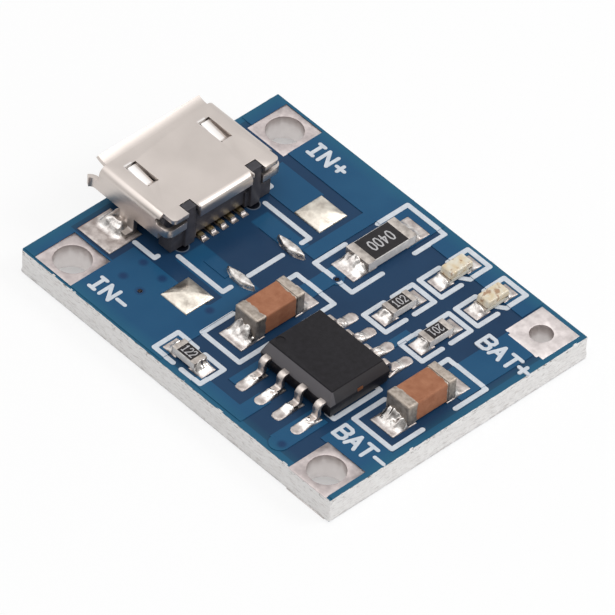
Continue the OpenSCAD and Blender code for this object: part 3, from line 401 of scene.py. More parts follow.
insulator_finish = moulded("black_plastic", tone(54, 53, 58), tone(76, 74, 79), 0.42, 4.0, 0.12, 0.3)
alumina_finish = moulded("white_ceramic", tone(206, 202, 200), tone(230, 227, 224), 0.55, 8.0, 0.2)
glaze_finish = moulded("black_glaze", tone(30, 27, 29), tone(42, 39, 41), 0.35, 6.0, 0.15, 0.25)
lamp_base_finish = moulded("lamp_base", tone(214, 208, 192), tone(236, 232, 220), 0.5, 8.0, 0.1)
ink_finish = moulded("white_ink", tone(206, 213, 222), tone(227, 232, 238), 0.6, 5.0, 0.15)
number_finish = moulded("grey_ink", tone(176, 174, 176), tone(206, 204, 206), 0.5, 9.0, 0.1)
print(len(bpy.data.materials), "materials so far")

# %% [markdown]
# A capacitor's ends were dipped in tin, which runs out over the ceramic in a wavy line. The solid's ends are
# straight, so the ceramic's own finish carries the waves.

# %% Finish of the capacitors
def fired(name, ends):
    """Brown ceramic over which the tin of a capacitor's ends runs out in a wavy line."""
    made = Finish(name, {"Specular IOR Level": 0.2})
    levels = [v.co.y / MM for v in nodes[ends].data.vertices]
    middle = (min(levels) + max(levels)) / 2
    low, high = max(y for y in levels if y < middle), min(y for y in levels if y > middle)
    waves = made.noise(2.6, 3.0, 0.6) * 0.34 - 0.1
    level = made.axis("Y")
    dipped = made.span(level - waves, low + 0.02, low - 0.02)
    dipped = dipped.highest(made.span(level + waves, high - 0.02, high + 0.02))
    brown = made.mix(made.span(made.noise(2.4, 4.0, 0.6), 0.3, 0.7), tone(156, 100, 72), tone(178, 122, 92))
    tin = made.mix(made.span(made.noise(4.6), 0.35, 0.65), *CAP_TIN)
    made.feed("Base Color", made.mix(dipped, brown, tin)).feed("Metallic", dipped)
    made.feed("Roughness", 0.5 + dipped * 0.05)
    made.bump(made.noise(6.0, 4.0, 0.65), 0.2, 0.02)
    print(name, "bare from", round(low, 2), "to", round(high, 2))
    return made.material


ceramic_in_finish = fired("ceramic_in", "cap_in_ends")
ceramic_bat_finish = fired("ceramic_bat", "cap_bat_ends")

# %% [markdown]
# The mould leaves the package's sides smoother than its top. The drafted sides are painted lighter, as painted
# light, and the near side lighter still; below the draft the package keeps the dark tone, as painted shade.
# The drafted band is told from the flat top and from the upright foot by its height on the solid.

# %% Finish of the package
package = Finish("black_epoxy", {"Specular IOR Level": 0.2})
low, high = box_mm("ic_body")
draft_low, draft_high, near_side = low.z + 0.73, high.z - 0.07, low.y + 0.36
level = package.axis("Z")
# The drafted sides get a lighter tone as painted light, the near side most, and below the draft the dark tone
# stands for painted shade.
on_top = package.span(level, draft_high, draft_high + 0.02)
lit_draft_band = package.span(level, draft_low, draft_low + 0.04) * (1 - on_top)
near = package.span(package.axis("Y"), near_side, near_side - 0.04)
grain = package.span(package.noise(3.0, 4.0, 0.6), 0.3, 0.7)
dark_tone = package.mix(grain, tone(22, 20, 23), tone(34, 32, 36))
side_painted_light = package.mix(near, tone(66, 64, 66), tone(104, 101, 104))
package.feed("Base Color", package.mix(lit_draft_band, dark_tone, side_painted_light))
package.feed("Roughness", 0.4 + on_top * 0.2)
package.bump(package.noise(7.0, 4.0, 0.65), 0.35, 0.02)
package_finish = package.material
print("package: draft from", round(draft_low, 2), "to", round(draft_high, 2))

# %% [markdown]
# A lamp is a drop of clear resin over a chip and a wire on a white base. Seen from outside it is cream with
# brown flecks, so a mostly opaque resin with flecks in its tint shows it with less noise than a real lens.

# %% Finish of the lamps' resin
lens = Finish("clear_resin", {"Roughness": 0.2, "IOR": 1.5, "Transmission Weight": 0.15})
haze = lens.span(lens.noise(2.4, 3.0), 0.35, 0.65)
speck = lens.span(lens.noise(3.0, 2.0), 0.57, 0.66) * 0.75
lens_tone = lens.mix(haze, tone(246, 224, 186), tone(255, 248, 230))
lens.feed("Base Color", lens.mix(speck, lens_tone, tone(176, 122, 84)))
lens.bump(lens.noise(3.0, 2.0), 0.12, 0.02)
lens_finish = lens.material
print("resin:", len(lens.tree.nodes), "nodes")

# %% [markdown]
# Every solid gets its finish here, by its name. Most are later replaced by a softer copy, and the others, such
# as the printed lines and the lamps' bases, are seen as they are.

# %% Which solid wears which finish
WEAR = {
    "board_laminate": laminate_finish, "top_copper": copper_finish, "bottom_copper": copper_finish,
    "top_mask": mask_finish, "bottom_mask": mask_finish, "silkscreen": ink_finish,
    "via_barrels": land_finish, "port_shell": shell_finish, "port_insulator": insulator_finish,
    "ic_body": package_finish, "ic_paddle": copper_finish,
    "cap_in_body": ceramic_in_finish, "cap_bat_body": ceramic_bat_finish,
    "cap_in_ends": cap_end_finish, "cap_bat_ends": cap_end_finish,
}
BY_START = {"terminal": land_finish, "port_contact": gold_finish, "ic_lead": lead_finish,
            "solder": solder_finish}
BY_END = {"_glaze": glaze_finish, "_body": alumina_finish, "_base": lamp_base_finish, "_lens": lens_finish}
for name, solid in nodes.items():
    wear = WEAR.get(name)
    wear = wear or next((paint for start, paint in BY_START.items() if name.startswith(start)), None)
    wear = wear or next((paint for end, paint in BY_END.items() if name.endswith(end)), chip_end_finish)
    solid.data.materials.clear()
    solid.data.materials.append(wear)
print(len(bpy.data.materials), "materials")


# %% [markdown]
# A solid straight from CAD has knife edges, and real edges catch a thin line of light. So a hard part is
# copied, its loose triangles are joined back into whole faces, and a bevel rounds what is left. The copy then
# stands for the solid, and keeps its size to the last hundredth.

# %% Soft edges on the hard parts
def piece(name, mesh, finish):
    """Puts a finished mesh into the scene, as a part of the one rigid body."""
    made = bpy.data.objects.new(name, mesh)
    bpy.context.scene.collection.objects.link(made)
    mesh.materials.clear()
    mesh.materials.append(finish)
    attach(made, "root")
    return made


def applied(made):
    """The object's mesh with its modifiers worked in and taken off."""
    bpy.context.view_layer.update()
    seen = made.evaluated_get(bpy.context.evaluated_depsgraph_get())
    mesh = bpy.data.meshes.new_from_object(seen)
    bpy.data.objects.remove(made)
    return mesh


def softened(name, sources, width, finish, segments=2):
    """A copy of some solids with rounded edges, which replaces them."""
    rough = bmesh.new()
    for source in sources:
        rough.from_mesh(nodes[source].data)
    bmesh.ops.remove_doubles(rough, verts=rough.verts, dist=1e-7)
    bmesh.ops.dissolve_limit(rough, angle_limit=math.radians(0.5), verts=rough.verts, edges=rough.edges)
    for face in rough.faces:
        face.smooth = True
    mesh = bpy.data.meshes.new(name)
    rough.to_mesh(mesh)
    rough.free()
    made = bpy.data.objects.new(name, mesh)
    bpy.context.scene.collection.objects.link(made)
    edge = made.modifiers.new("edges", "BEVEL")
    edge.width, edge.segments, edge.limit_method = width * MM, segments, "ANGLE"
    edge.angle_limit, edge.harden_normals = math.radians(32), True
    mesh = applied(made)
    made = piece(name, mesh, finish)
    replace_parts(made, *sources)
    print(name, len(mesh.polygons), "faces")
    return made


# %% The parts that are softened
# The resin of a lamp flows a little over its two ends.
LENS_FAR, LENS_NEAR = 0.34, 0.1

softened("package", ["ic_body"], 0.05, package_finish)
softened("shell", ["port_shell"], 0.05, shell_finish, 3)
softened("insulator", ["port_insulator"], 0.03, insulator_finish)
for side in ("in", "bat"):
    softened(f"capacitor_{side}_ends", [f"cap_{side}_ends"], 0.015, cap_end_finish)
for chip in ("input_resistor", "led_resistor_a", "led_resistor_b", "program_resistor"):
    softened(f"{chip}_metal", [f"{chip}_ends"], 0.03, chip_end_finish)
    softened(f"{chip}_block", [f"{chip}_body"], 0.012, alumina_finish)
for lamp in ("led_a", "led_b"):
    cover = softened(f"{lamp}_cover", [f"{lamp}_lens"], 0.09, lens_finish, 4)
    low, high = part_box(f"{lamp}_lens")
    for vert in cover.data.vertices:
        vert.co.y += (LENS_FAR if vert.co.y > (low.y + high.y) / 2 else -LENS_NEAR) * MM
for corner, wear in (("in_minus", land_finish), ("in_plus", land_finish), ("bat_minus", land_finish),
                     ("bat_plus", bright_land_finish)):
    softened(f"land_{corner}", [f"terminal_{corner}"], 0.03, wear)


# %% [markdown]
# The board was cut from a panel, so its edge is rough. The mask is drawn in by a hair and is worn round at one
# corner. A ring of laminate runs round the board: its wall wanders inward by noise, and its crest crumbles over
# the mask's edge here and there. The laminate inside the ring is the CAD solid, drawn in behind the wall.

# %% Sheets drawn in from the edge
WORN = 0.3


def drawn_in(x, y, inset, worn):
    """A point of a sheet's outline, drawn in from the board's edge and round at the worn corner."""
    x, y = max(inset - half_x, min(x, half_x - inset)), max(inset - half_y, min(y, half_y - inset))
    away = Vector((x + half_x - worn, y + half_y - worn))
    if max(away) < 0 and away.length > worn - inset:
        away *= (worn - inset) / away.length
        x, y = away.x - half_x + worn, away.y - half_y + worn
    return x, y


def sheet(name, source, inset, worn, finish):
    """A copy of one of the board's layers with its outline drawn in, which replaces it."""
    layer = bmesh.new()
    layer.from_mesh(nodes[source].data)
    for k in range(1, 9):
        spot = Vector((worn * k / 8 - half_x, worn * k / 8 - half_y, 0)) * MM
        for normal in ((1, 0, 0), (0, 1, 0)):
            everything = layer.verts[:] + layer.edges[:] + layer.faces[:]
            bmesh.ops.bisect_plane(layer, geom=everything, plane_co=spot, plane_no=normal)
    for vert in layer.verts:
        x, y = drawn_in(vert.co.x / MM, vert.co.y / MM, inset, worn)
        vert.co.x, vert.co.y = x * MM, y * MM
    mesh = bpy.data.meshes.new(name)
    layer.to_mesh(mesh)
    layer.free()
    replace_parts(piece(name, mesh, finish), source)


# %% The ring of laminate
def edge_ring(spacing):
    """Points all round the board with their outward directions; the worn corner is rounder than the others."""
    ring = []
    corners = ((1, -1, 0.12), (1, 1, 0.12), (-1, 1, 0.12), (-1, -1, WORN))
    for k, (sx, sy, radius) in enumerate(corners):
        centre = Vector((sx * (half_x - radius), sy * (half_y - radius)))
        for step in range(9):
            turn = math.radians(90 * (k - 1) + 90 * step / 8)
            out = Vector((math.cos(turn), math.sin(turn)))
            ring.append((centre + out * radius, out))
        sx, sy, radius = corners[(k + 1) % 4]
        start, goal = ring[-1][0], Vector((sx * (half_x - radius), sy * (half_y - radius))) + out * radius
        count = round((goal - start).length / spacing)
        ring += [(start.lerp(goal, step / count), out) for step in range(1, count)]
    return ring


def rough_edge():
    """The ring of laminate, closed round the board."""
    grid = bmesh.new()
    rows = []
    for spot, out in edge_ring(0.07):
        def wander(z, size, seed):
            return noise.noise(Vector((spot.x / size, spot.y / size, z / size * 0.7 + seed)))
        profile = [(0.3, 0.08), (0.02, 0.08)]
        for k in range(10):
            z = 0.15 + 1.2 * k / 9
            profile.append((0.05 + 0.055 * wander(z, 0.5, 1) + 0.035 * wander(z, 0.16, 5), z))
        crumb = (wander(1, 0.45, 9) + 0.7 * wander(1, 0.15, 13)) * max(0, min(1, 1 + 3 * (out.x - out.y)))
        profile += [(0.05 + 0.05 * wander(1.4, 0.3, 3), 1.405), (0.07, 1.43 + 0.035 * crumb),
                    (0.12, 1.43 + 0.055 * crumb), (0.18, 1.42), (0.3, 1.42)]
        inner = [(spot - out * max(inset, 0.005), z) for inset, z in profile]
        rows.append([grid.verts.new((place.x * MM, place.y * MM, z * MM)) for place, z in inner])
    for a, b in zip(rows, rows[1:] + rows[:1]):
        for k in range(len(a)):
            n = (k + 1) % len(a)
            grid.faces.new((a[k], b[k], b[n], a[n])).smooth = True
    bmesh.ops.recalc_face_normals(grid, faces=grid.faces)
    mesh = bpy.data.meshes.new("rough_edge")
    grid.to_mesh(mesh)
    grid.free()
    return piece("rough_edge", mesh, laminate_finish)


sheet("mask_sheet", "top_mask", 0.08, 0.2, mask_finish)
sheet("copper_sheet", "top_copper", 0.12, 0.25, copper_finish)
sheet("laminate_core", "board_laminate", 0.16, WORN, laminate_finish)
sheet("under_mask_sheet", "bottom_mask", 0.08, WORN + 0.1, mask_finish)
ring = rough_edge()
print("rough edge:", len(ring.data.polygons), "faces")


# %% [markdown]
# The eight leads are one shape set out in two rows, so a node group lays them out. It takes one lead drawn
# about the package's middle, puts copies on a line of points one pitch apart, turns a second row half round and
# moves both rows to the package. The count, the pitch and the middle are read from the solids, so the rows
# follow the board when its sizes change.

# %% The node group of two rows
def middle_of(name):
    """The middle of a solid's box, in metres."""
    low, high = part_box(name)
    return (Vector(low) + Vector(high)) / 2


package_middle = middle_of("ic_body")
lead_middle = middle_of("ic_lead_7")
lead_gap = abs(middle_of("ic_lead_6").x - lead_middle.x)

rows = bpy.data.node_groups.new("lead_rows", "GeometryNodeTree")
faces = {}
for label, kind in (("Geometry", "Geometry"), ("Count", "Int"), ("Pitch", "Float"), ("Middle", "Vector"),
                    ("Material", "Material")):
    faces[label] = rows.interface.new_socket(label, in_out="INPUT", socket_type="NodeSocket" + kind)
rows.interface.new_socket("Geometry", in_out="OUTPUT", socket_type="NodeSocketGeometry")
laid = Graph(rows)
given = rows.nodes.new("NodeGroupInput")
inlet = {key: Wire(laid, given.outputs[key]) for key in faces}
first = (inlet["Count"] - 1) * inlet["Pitch"] * -0.5
start = laid.node("ShaderNodeCombineXYZ", None, {"X": first})
step = laid.node("ShaderNodeCombineXYZ", None, {"X": inlet["Pitch"]})
line = laid.node("GeometryNodeMeshLine", {"mode": "OFFSET"},
                 {"Count": inlet["Count"], "Start Location": start, "Offset": step})
row = laid.node("GeometryNodeInstanceOnPoints", None, {"Points": line, "Instance": inlet["Geometry"]})
turned = laid.node("GeometryNodeTransform", None, {"Geometry": row, "Rotation": (0, 0, math.pi)})
joined = rows.nodes.new("GeometryNodeJoinGeometry")
for wire in (row, turned):
    rows.links.new(wire.socket, joined.inputs[0])
moved = laid.node("GeometryNodeTransform", None,
                  {"Geometry": Wire(laid, joined.outputs[0]), "Translation": inlet["Middle"]})
whole = laid.node("GeometryNodeRealizeInstances", None, {"Geometry": moved})
painted = laid.node("GeometryNodeSetMaterial", None, {"Geometry": whole, "Material": inlet["Material"]})
rows.links.new(painted.socket, rows.nodes.new("NodeGroupOutput").inputs[0])
print("node group:", len(rows.nodes), "nodes")

# %% The leads laid out
lead_count = sum(name.startswith("ic_lead_") for name in nodes)
lead_mesh = softened("one_lead", ["ic_lead_7"], 0.035, lead_finish).data.copy()
bpy.data.objects.remove(bpy.data.objects["one_lead"])
lead_mesh.transform(Matrix.Translation((-lead_middle.x, -package_middle.y, 0)))
leads = bpy.data.objects.new("leads", lead_mesh)
bpy.context.scene.collection.objects.link(leads)
layout = leads.modifiers.new("rows", "NODES")
layout.node_group = rows
for label, value in (("Count", lead_count // 2), ("Pitch", lead_gap), ("Material", lead_finish),
                     ("Middle", (package_middle.x, package_middle.y, 0))):
    layout[faces[label].identifier] = value
leads = piece("lead_rows", applied(leads), lead_finish)
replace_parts(leads, *[f"ic_lead_{n}" for n in range(1, 9)])
print(lead_count, "leads:", len(leads.data.polygons), "faces, pitch", round(lead_gap / MM, 3))


# %% [markdown]
# Solder sets in soft heaps, which no simple solid gives. Each joint is a fine grid over its land, lifted by a
# function of the place on the land: a thin film with a round rim, and a heap against the metal that it wets.
# Smooth noise makes the heaps uneven, and a skirt below the land closes each of them.

# %% Grids lifted into heaps
TOP = 1.5
STEP = 0.04
SUNK = -0.06


def ripple(x, y, seed, size):
    """Smooth noise between about -1 and 1 with a wavelength of about size millimetres."""
    return noise.noise(Vector((x / size + 17.3 * seed, y / size - 9.1 * seed, 0.37 * seed)))


def film(inside, thick=0.03, rim=0.12):
    """Height of a film at a distance inside its outline, with a round rim."""
    if inside < -0.02:
        return SUNK
    near = 1 - min(max(inside, 0) / rim, 1)
    return (thick + 0.012) * math.sqrt(1 - near * near) - 0.012


def heap(grid, centre, turn, size, surface):
    """Adds one closed heap: surface gives the height over the board at a place on the land."""
    wide, long = size
    across, along = max(4, round(wide / STEP)), max(4, round(long / STEP))
    spin = Matrix.Rotation(turn, 2)
    rowed = []
    for j in range(along + 1):
        v = long * (j / along - 0.5)
        line = []
        for i in range(across + 1):
            u = wide * (i / across - 0.5)
            spot = spin @ Vector((u, v))
            line.append(grid.verts.new(((centre[0] + spot.x) * MM, (centre[1] + spot.y) * MM,
                                        (TOP + surface(u, v)) * MM)))
        rowed.append(line)
    for low, high in zip(rowed, rowed[1:]):
        for i in range(across):
            grid.faces.new((low[i], low[i + 1], high[i + 1], high[i])).smooth = True
    rim = rowed[0][:-1] + [r[-1] for r in rowed[:-1]] + rowed[-1][:0:-1] + [r[0] for r in rowed[:0:-1]]
    foot = [grid.verts.new((v.co.x, v.co.y, (TOP - 0.07) * MM)) for v in rim]
    for k in range(len(rim)):
        n = (k + 1) % len(rim)
        grid.faces.new((foot[k], foot[n], rim[n], rim[k]))
    grid.faces.new(foot[::-1])


def poured(name, source, joints, finish=solder_finish):
    """One piece with all the joints of a solder node, which it replaces."""
    grid = bmesh.new()
    for joint in joints:
        heap(grid, *joint)
    bmesh.ops.recalc_face_normals(grid, faces=grid.faces)
    mesh = bpy.data.meshes.new(name)
    grid.to_mesh(mesh)
    grid.free()
    made = piece(name, mesh, finish)
    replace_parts(made, source)
    print(name, len(joints), "joints,", len(mesh.polygons), "faces")


# %% Joints at a chip's ends
def chip_end(land, face, height, reach, seed):
    """Joint against a chip's end: the chip lies at the grid's low end, and face is where its end stands."""
    wide, long = land

    def surface(u, v):
        rim = min(wide / 2 - abs(u), long / 2 - abs(v))
        out = v + long / 2 - face
        climb = max(0, 1 + out / 0.14) if out < 0 else (1 - min(out / reach, 1)) ** 1.6
        side = max(0, 1 - abs(2 * u / wide) ** 3)
        lump = 1 + 0.45 * ripple(u, v, seed, 0.4) + 0.2 * ripple(u, v, seed + 40, 0.17)
        return film(rim, 0.025 + 0.01 * ripple(u, v, seed, 0.3)) + height * climb * side * lump
    return surface


def chip_joints(chip, lands, near, far, seed, turn=0.0):
    """The two joints of a chip that lies along Y, or along X when turned; near is on the -Y or +X side."""
    land, span = lands
    low, high = box_mm(chip)
    size, middle = high - low, (low + high) / 2
    length = size.x if turn else size.y
    joints = []
    for sign, (height, reach) in ((-1, near), (1, far)):
        away = Vector((0, sign * (span - land[1]) / 2))
        away.rotate(Matrix.Rotation(turn, 2))
        face = length / 2 - (span / 2 - land[1])
        joints.append(((middle.x + away.x, middle.y + away.y), turn + (math.pi if sign < 0 else 0), land,
                       chip_end(land, face, height, reach, seed + sign)))
    return joints


# %% Solder on the chips
# The size of one land, and the span of a pair of lands over all.
BIG, SMALL = ((1.6, 1.55), 5.1), ((0.95, 0.95), 2.8)
poured("capacitor_solder", "solder_capacitors",
       chip_joints("cap_in_ends", BIG, (0.75, 0.8), (0.5, 0.55), 3)
       + chip_joints("cap_bat_ends", BIG, (0.7, 0.85), (0.5, 0.6), 11))
poured("resistor_solder", "solder_resistors",
       chip_joints("input_resistor_ends", BIG, (0.56, 0.9), (0.45, 0.7), 5)
       + chip_joints("led_resistor_a_ends", SMALL, (0.44, 0.6), (0.36, 0.45), 7)
       + chip_joints("led_resistor_b_ends", SMALL, (0.44, 0.6), (0.36, 0.45), 19)
       + chip_joints("program_resistor_ends", SMALL, (0.44, 0.6), (0.4, 0.5), 23, math.pi / 2))
poured("lamp_solder", "solder_leds",
       chip_joints("led_a_terminals", SMALL, (0.3, 0.55), (0.26, 0.5), 29)
       + chip_joints("led_b_terminals", SMALL, (0.3, 0.55), (0.26, 0.5), 31))


# %% [markdown]
# A lead's land is long and has one round end, and its solder climbs a little round the foot. The eight joints
# have the same rule with another seed each, so no two heaps are alike, as on the real board.

# %% Solder on the leads
LEAD_LAND, LEAD_OUT = (0.62, 1.72), 3.01


def lead_joint(seed):
    """Joint round a lead's foot, on a land with one round end, at the grid's high end."""
    half, long, foot = LEAD_LAND[0] / 2, LEAD_LAND[1], 0.7

    def surface(u, v):
        out = v + long / 2
        rim = min(half - abs(u), out)
        if out > long - half:
            rim = half - math.hypot(u, out - long + half)
        heaped = math.exp(-((out - foot) / 0.34) ** 2) * max(0, 1 - abs(u / 0.33) ** 4)
        lump = 1 + 0.3 * ripple(u, v, seed, 0.3) + 0.25 * ripple(u, v, seed + 30, 0.12)
        return film(rim, 0.025, 0.15) + 0.2 * heaped * lump
    return surface


lead_joints = []
for n in range(1, lead_count + 1):
    spot = middle_of(f"ic_lead_{n}") / MM
    side = 1 if spot.y > package_middle.y / MM else -1
    centre = (spot.x, package_middle.y / MM + side * LEAD_OUT)
    lead_joints.append((centre, 0 if side > 0 else math.pi, LEAD_LAND, lead_joint(n + 50)))
poured("lead_solder", "solder_ic", lead_joints)


# %% [markdown]
# The socket's two side legs end in flat feet, each in a broad pool of solder with a heap against the wall. Four
# spare lands carry solder with nothing in it: two square cushions and two long drops, pointed at both ends.

# %% Solder on the socket and on the spare lands
LEG_LAND, SPARE_LAND, SPARE_BAR = (2.3, 2.15), 1.85, (1.95, 0.6)


def leg_joint(seed, side):
    """Joint round the flat foot of one of the socket's legs."""
    def surface(u, v):
        rim = min(LEG_LAND[0] / 2 - abs(u), LEG_LAND[1] / 2 - abs(v))
        toe = 0.12 * side
        gap = math.hypot(max(abs(u + 0.1) - 0.5, 0), max(v * side - toe, 0))
        heaped = max(0, 1 - gap / 0.45) ** 1.8
        wall = max(0, 1 - math.hypot(max(abs(u + 0.1) - 0.35, 0), max(v * side - toe + 0.25, 0)) / 0.5)
        lump = 1 + 0.35 * ripple(u, v, seed, 0.35)
        raised = (0.24 * heaped + 0.26 * wall ** 1.3) * lump
        return film(rim, 0.03, 0.2) + raised + 0.012 * ripple(u, v, seed, 0.5)
    return surface


def pillow(wide, height, seed):
    """A cushion with four soft facets on a square land that nothing stands on."""
    def surface(u, v):
        rim = wide / 2 - max(abs(u), abs(v))
        swell = 1 - (1 - min(max(rim, 0) / 0.85, 1)) ** 1.5
        return film(rim, 0.03, 0.1) + height * swell * (1 + 0.25 * ripple(u, v, seed, 0.8))
    return surface


def ridge(long, wide, height, seed):
    """A long drop of solder, pointed at both ends, on a land drawn with two circles."""
    radius = (long * long + wide * wide) / (4 * wide)

    def surface(u, v):
        half = math.sqrt(max(radius * radius - u * u, 0)) - radius + wide / 2 + 0.01
        if half < 0.02 or abs(v) >= half:
            return SUNK
        return height * (1 - abs(v / half) ** 2.6) ** 0.5 * (1 + 0.14 * ripple(u, v, seed, 0.7)) - 0.015
    return surface


def pair(node, depth):
    """The centres of a node's two joints, beside its -Y and its +Y side; depth is a joint's extent along Y."""
    low, high = box_mm(node)
    middle = (low.x + high.x) / 2
    return (middle, low.y + depth / 2), (middle, high.y - depth / 2)


minus, plus = pair("solder_port_legs", LEG_LAND[1])
poured("leg_solder", "solder_port_legs",
       [(minus, 0, LEG_LAND, leg_joint(61, -1)), (plus, 0, LEG_LAND, leg_joint(62, 1))])
minus, plus = pair("solder_spare_lands", SPARE_LAND)
poured("spare_land_solder", "solder_spare_lands",
       [(minus, 0, (SPARE_LAND, SPARE_LAND), pillow(SPARE_LAND, 0.27, 71)),
        (plus, 0, (SPARE_LAND, SPARE_LAND), pillow(SPARE_LAND, 0.27, 72))], cushion_finish)
minus, plus = pair("solder_spare_bars", SPARE_BAR[1])
poured("spare_bar_solder", "solder_spare_bars",
       [(minus, 0, SPARE_BAR, ridge(*SPARE_BAR, 0.29, 81)), (plus, 0, SPARE_BAR, ridge(*SPARE_BAR, 0.29, 82))])


# %% [markdown]
# The names of the terminals and the numbers on the resistors are drawn in strokes. A text object would bring
# its own font's shapes, and the board's letters are plain strokes of one width. A glyph is a list of strokes in
# a box one unit wide and high, and each stroke becomes flat rods with round ends. The rods differ in height by
# a hair, so that no two faces lie in one plane.

# %% Strokes
GLYPHS = {
    "I": [[(0, 1), (1, 1)], [(0, 0), (1, 0)], [(0.5, 0), (0.5, 1)]],
    "N": [[(0, 0), (0, 1), (1, 0), (1, 1)]],
    "B": [[(0, 0), (0, 1), (0.75, 1), (1, 0.88), (1, 0.66), (0.75, 0.52), (0, 0.52)],
          [(0.75, 0.52), (1, 0.38), (1, 0.14), (0.75, 0), (0, 0)]],
    "A": [[(0, 0), (0.5, 1), (1, 0)], [(0.2, 0.36), (0.8, 0.36)]],
    "T": [[(0, 1), (1, 1)], [(0.5, 0), (0.5, 1)]],
    "+": [[(0, 0.5), (1, 0.5)], [(0.5, 0.15), (0.5, 0.85)]],
    "-": [[(0, 0.5), (1, 0.5)]],
    "0": [[(0.3, 0), (0, 0.25), (0, 0.75), (0.3, 1), (0.7, 1), (1, 0.75), (1, 0.25), (0.7, 0), (0.3, 0)]],
    "1": [[(0.2, 0.8), (0.5, 1), (0.5, 0)], [(0.15, 0), (0.85, 0)]],
    "2": [[(0, 0.8), (0.25, 1), (0.75, 1), (1, 0.8), (1, 0.6), (0, 0), (1, 0)]],
    "4": [[(0.75, 0), (0.75, 1), (0, 0.35), (1, 0.35)]],
}


def rod(mesh, start, end, wide, low, high):
    """A flat rod with round ends from one point to another, as the outline of a stroke."""
    lean = math.atan2(end[1] - start[1], end[0] - start[0])
    rim = []
    for k in range(14):
        centre = end if k < 7 else start
        turn = lean - math.pi / 2 + math.pi * (k if k < 7 else k - 1) / 6
        rim.append((centre[0] + wide / 2 * math.cos(turn), centre[1] + wide / 2 * math.sin(turn)))
    upper = [mesh.verts.new((x * MM, y * MM, high * MM)) for x, y in rim]
    lower = [mesh.verts.new((x * MM, y * MM, low * MM)) for x, y in rim]
    mesh.faces.new(upper)
    mesh.faces.new(lower[::-1])
    for k in range(14):
        n = (k + 1) % 14
        mesh.faces.new((lower[k], lower[n], upper[n], upper[k]))


def write(mesh, text, corner, along, size, pitch, wide, low, high):
    """Draws a text from its lower left corner; along is its reading direction as a turn in degrees."""
    run = Vector((math.cos(math.radians(along)), math.sin(math.radians(along))))
    rise = Vector((-run.y, run.x))
    hair = 0
    for k, letter in enumerate(text):
        broad = size[0] * (0.62 if letter == "I" else 1)
        for stroke in GLYPHS[letter]:
            spots = [Vector(corner) + run * (k * pitch + x * broad) + rise * (y * size[1]) for x, y in stroke]
            for a, b in zip(spots, spots[1:]):
                rod(mesh, a, b, wide, low, high + hair)
                hair += 0.0004


# %% Names and numbers
# The width of a stroke, and the heights of its underside and top.
INK, BIG_PAINT, SMALL_PAINT = (0.2, 1.45, 1.52), (0.08, 2.06, 2.084), (0.055, 1.95, 1.974)
SMALL_DIGITS = ((0.18, 0.46), 0.27)

# A label's text, its lower left corner, and the size and pitch of its letters.
LABELS = (("IN", (-6.97, -7.6), (0.6, 0.85), 0.72), ("IN", (-6.97, 6.72), (0.6, 0.85), 0.72),
          ("-", (-5.4, -7.6), (0.55, 0.8), 0.72), ("+", (-5.32, 6.78), (0.54, 0.7), 0.72),
          ("BAT", (7.85, 4.0), (0.62, 0.85), 0.84), ("+", (10.3, 4.1), (0.6, 0.75), 0.84),
          ("BAT-", (7.78, -5.35), (0.6, 0.85), 0.82))

labels = bmesh.new()
for text, corner, size, pitch in LABELS:
    write(labels, text, corner, 0, size, pitch, *INK)
label_mesh = bpy.data.meshes.new("labels")
labels.to_mesh(label_mesh)
labels.free()
piece("terminal_names", label_mesh, ink_finish)

numbers = bmesh.new()
column_a, column_b = middle_of("led_resistor_a_glaze") / MM, middle_of("led_resistor_b_glaze") / MM
big, program = middle_of("input_resistor_glaze") / MM, middle_of("program_resistor_glaze") / MM
write(numbers, "0400", (big.x - 0.31, big.y + 0.7), -90, (0.25, 0.62), 0.39, *BIG_PAINT)
write(numbers, "102", (column_a.x + 0.23, column_a.y - 0.36), 90, *SMALL_DIGITS, *SMALL_PAINT)
write(numbers, "201", (column_b.x - 0.23, column_b.y + 0.36), -90, *SMALL_DIGITS, *SMALL_PAINT)
write(numbers, "122", (program.x - 0.36, program.y - 0.23), 0, *SMALL_DIGITS, *SMALL_PAINT)
number_mesh = bpy.data.meshes.new("numbers")
numbers.to_mesh(number_mesh)
numbers.free()
piece("resistor_numbers", number_mesh, number_finish)
print(len(label_mesh.polygons), "label faces,", len(number_mesh.polygons), "number faces")

# %% [markdown]
# The stage is a white floor under an even sky, with one broad lamp from the socket's side and a weaker one
# from above. For the camera, and for what metal reflects, the floor adds a plain white, so that the background
# is white from its own colour and not from more light on the object. Under the board it adds less, because the
# open holes look down on a floor in the shade.

# %% Floor
floor_mesh = bpy.data.meshes.new("floor")
floor_mesh.from_pydata([(-2, -2, 0), (2, -2, 0), (2, 2, 0), (-2, 2, 0)], [], [(0, 1, 2, 3)])
floor = bpy.data.objects.new("floor", floor_mesh)
bpy.context.scene.collection.objects.link(floor)
floor.location.z = cad_box[0].z - 0.02 * MM


def seen_directly(finish):
    """1 for the camera and for what metal and glass show of the surroundings."""
    path = finish.tree.nodes.new("ShaderNodeLightPath")
    camera_ray, glossy_ray, clear_ray = (Wire(finish, path.outputs[f"Is {kind} Ray"])
                                         for kind in ("Camera", "Glossy", "Transmission"))
    return camera_ray.highest(glossy_ray).highest(clear_ray)


paper = Finish("floor_paper", {"Base Color": (0.9, 0.9, 0.9, 1), "Roughness": 0.9})
glow = paper.node("ShaderNodeEmission", None, {"Color": (1, 1, 1, 1), "Strength": 1.05})
under = paper.patch((0.25 - half_x, half_x - 0.25), (0.25 - half_y, half_y - 0.25), 0.15)
looked_at = paper.node("ShaderNodeLightPath", out="Is Camera Ray")
both = paper.node("ShaderNodeMixShader", None,
                  {0: seen_directly(paper) * (0.75 - under * looked_at * 0.66),
                   1: Wire(paper, paper.shader.outputs[0]), 2: glow})
paper.tree.links.new(both.socket, paper.tree.nodes["Material Output"].inputs["Surface"])
floor_mesh.materials.append(paper.material)
print("floor at", round(floor.location.z / MM, 2), "mm")


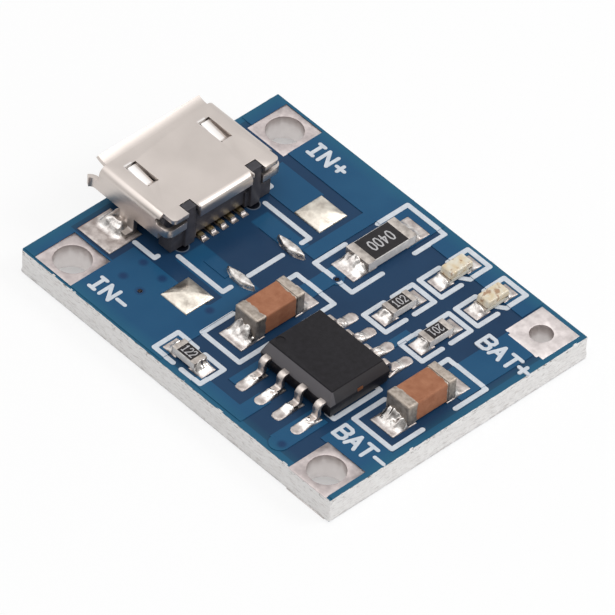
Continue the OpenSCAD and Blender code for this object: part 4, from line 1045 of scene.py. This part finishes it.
# %% [markdown]
# Flat metal shows one patch of the sky, so the sky is what makes metal look like metal. It is plain for the
# light that falls on the board. What metal shows is a grey overhead, a bright window round it, which the bends
# catch, and a dim side towards the camera.

# %% Sky
class Sky(Graph):
    """The world's own node tree, used in the same way."""

    def __init__(self, world):
        world.use_nodes = True
        super().__init__(world.node_tree)
        self.shader = world.node_tree.nodes["Background"]


world = bpy.data.worlds.new("studio")
bpy.context.scene.world = world
sky = Sky(world)
toward = sky.node("ShaderNodeTexCoord", out="Generated")
height = sky.node("ShaderNodeSeparateXYZ", None, {0: toward}, out="Z")
front = sky.node("ShaderNodeVectorMath", {"operation": "DOT_PRODUCT"},
                 {0: toward, 1: (math.cos(TURN), math.sin(TURN), 0)}, out="Value")
dusk = sky.span(height, 0.5, 0.2) * sky.span(front, -0.1, 0.6)
overhead = Vector((-0.492, 0.508, 0.707)).normalized()
beside = sky.node("ShaderNodeVectorMath", {"operation": "DOT_PRODUCT"}, {0: toward, 1: overhead}, out="Value")
window = sky.span(beside, 0.97, 0.8) * sky.span(height, 0.35, 0.6)
facing = sky.span(front, 0.2, 0.55)
shown = (0.88 + window * 0.72) * (1 - facing * 0.62) * (1 - dusk * 0.3)
seen = seen_directly(sky)
sky.put(sky.shader.inputs["Color"], (1, 1, 1, 1))
sky.put(sky.shader.inputs["Strength"], 0.62 + seen * (shown - 0.62))
print("sky:", len(sky.tree.nodes), "nodes")


# %% [markdown]
# Two square lamps give the soft shadow. They are weak, so that a colour shows about as it is written.

# %% Lamps
def lamp(name, place, size, watts):
    """A square soft lamp that looks at the board."""
    data = bpy.data.lights.new(name, "AREA")
    data.energy, data.size = watts, size
    made = bpy.data.objects.new(name, data)
    bpy.context.scene.collection.objects.link(made)
    made.location = place
    made.rotation_euler = (-Vector(place)).to_track_quat("-Z", "Y").to_euler()
    print(name, "lamp", watts, "W")


lamp("key", (0.2, 0.22, 0.26), 0.16, 0.35)
lamp("top", (0.05, -0.05, 0.4), 0.3, 0.25)
bpy.context.scene.view_settings.view_transform = "Standard"
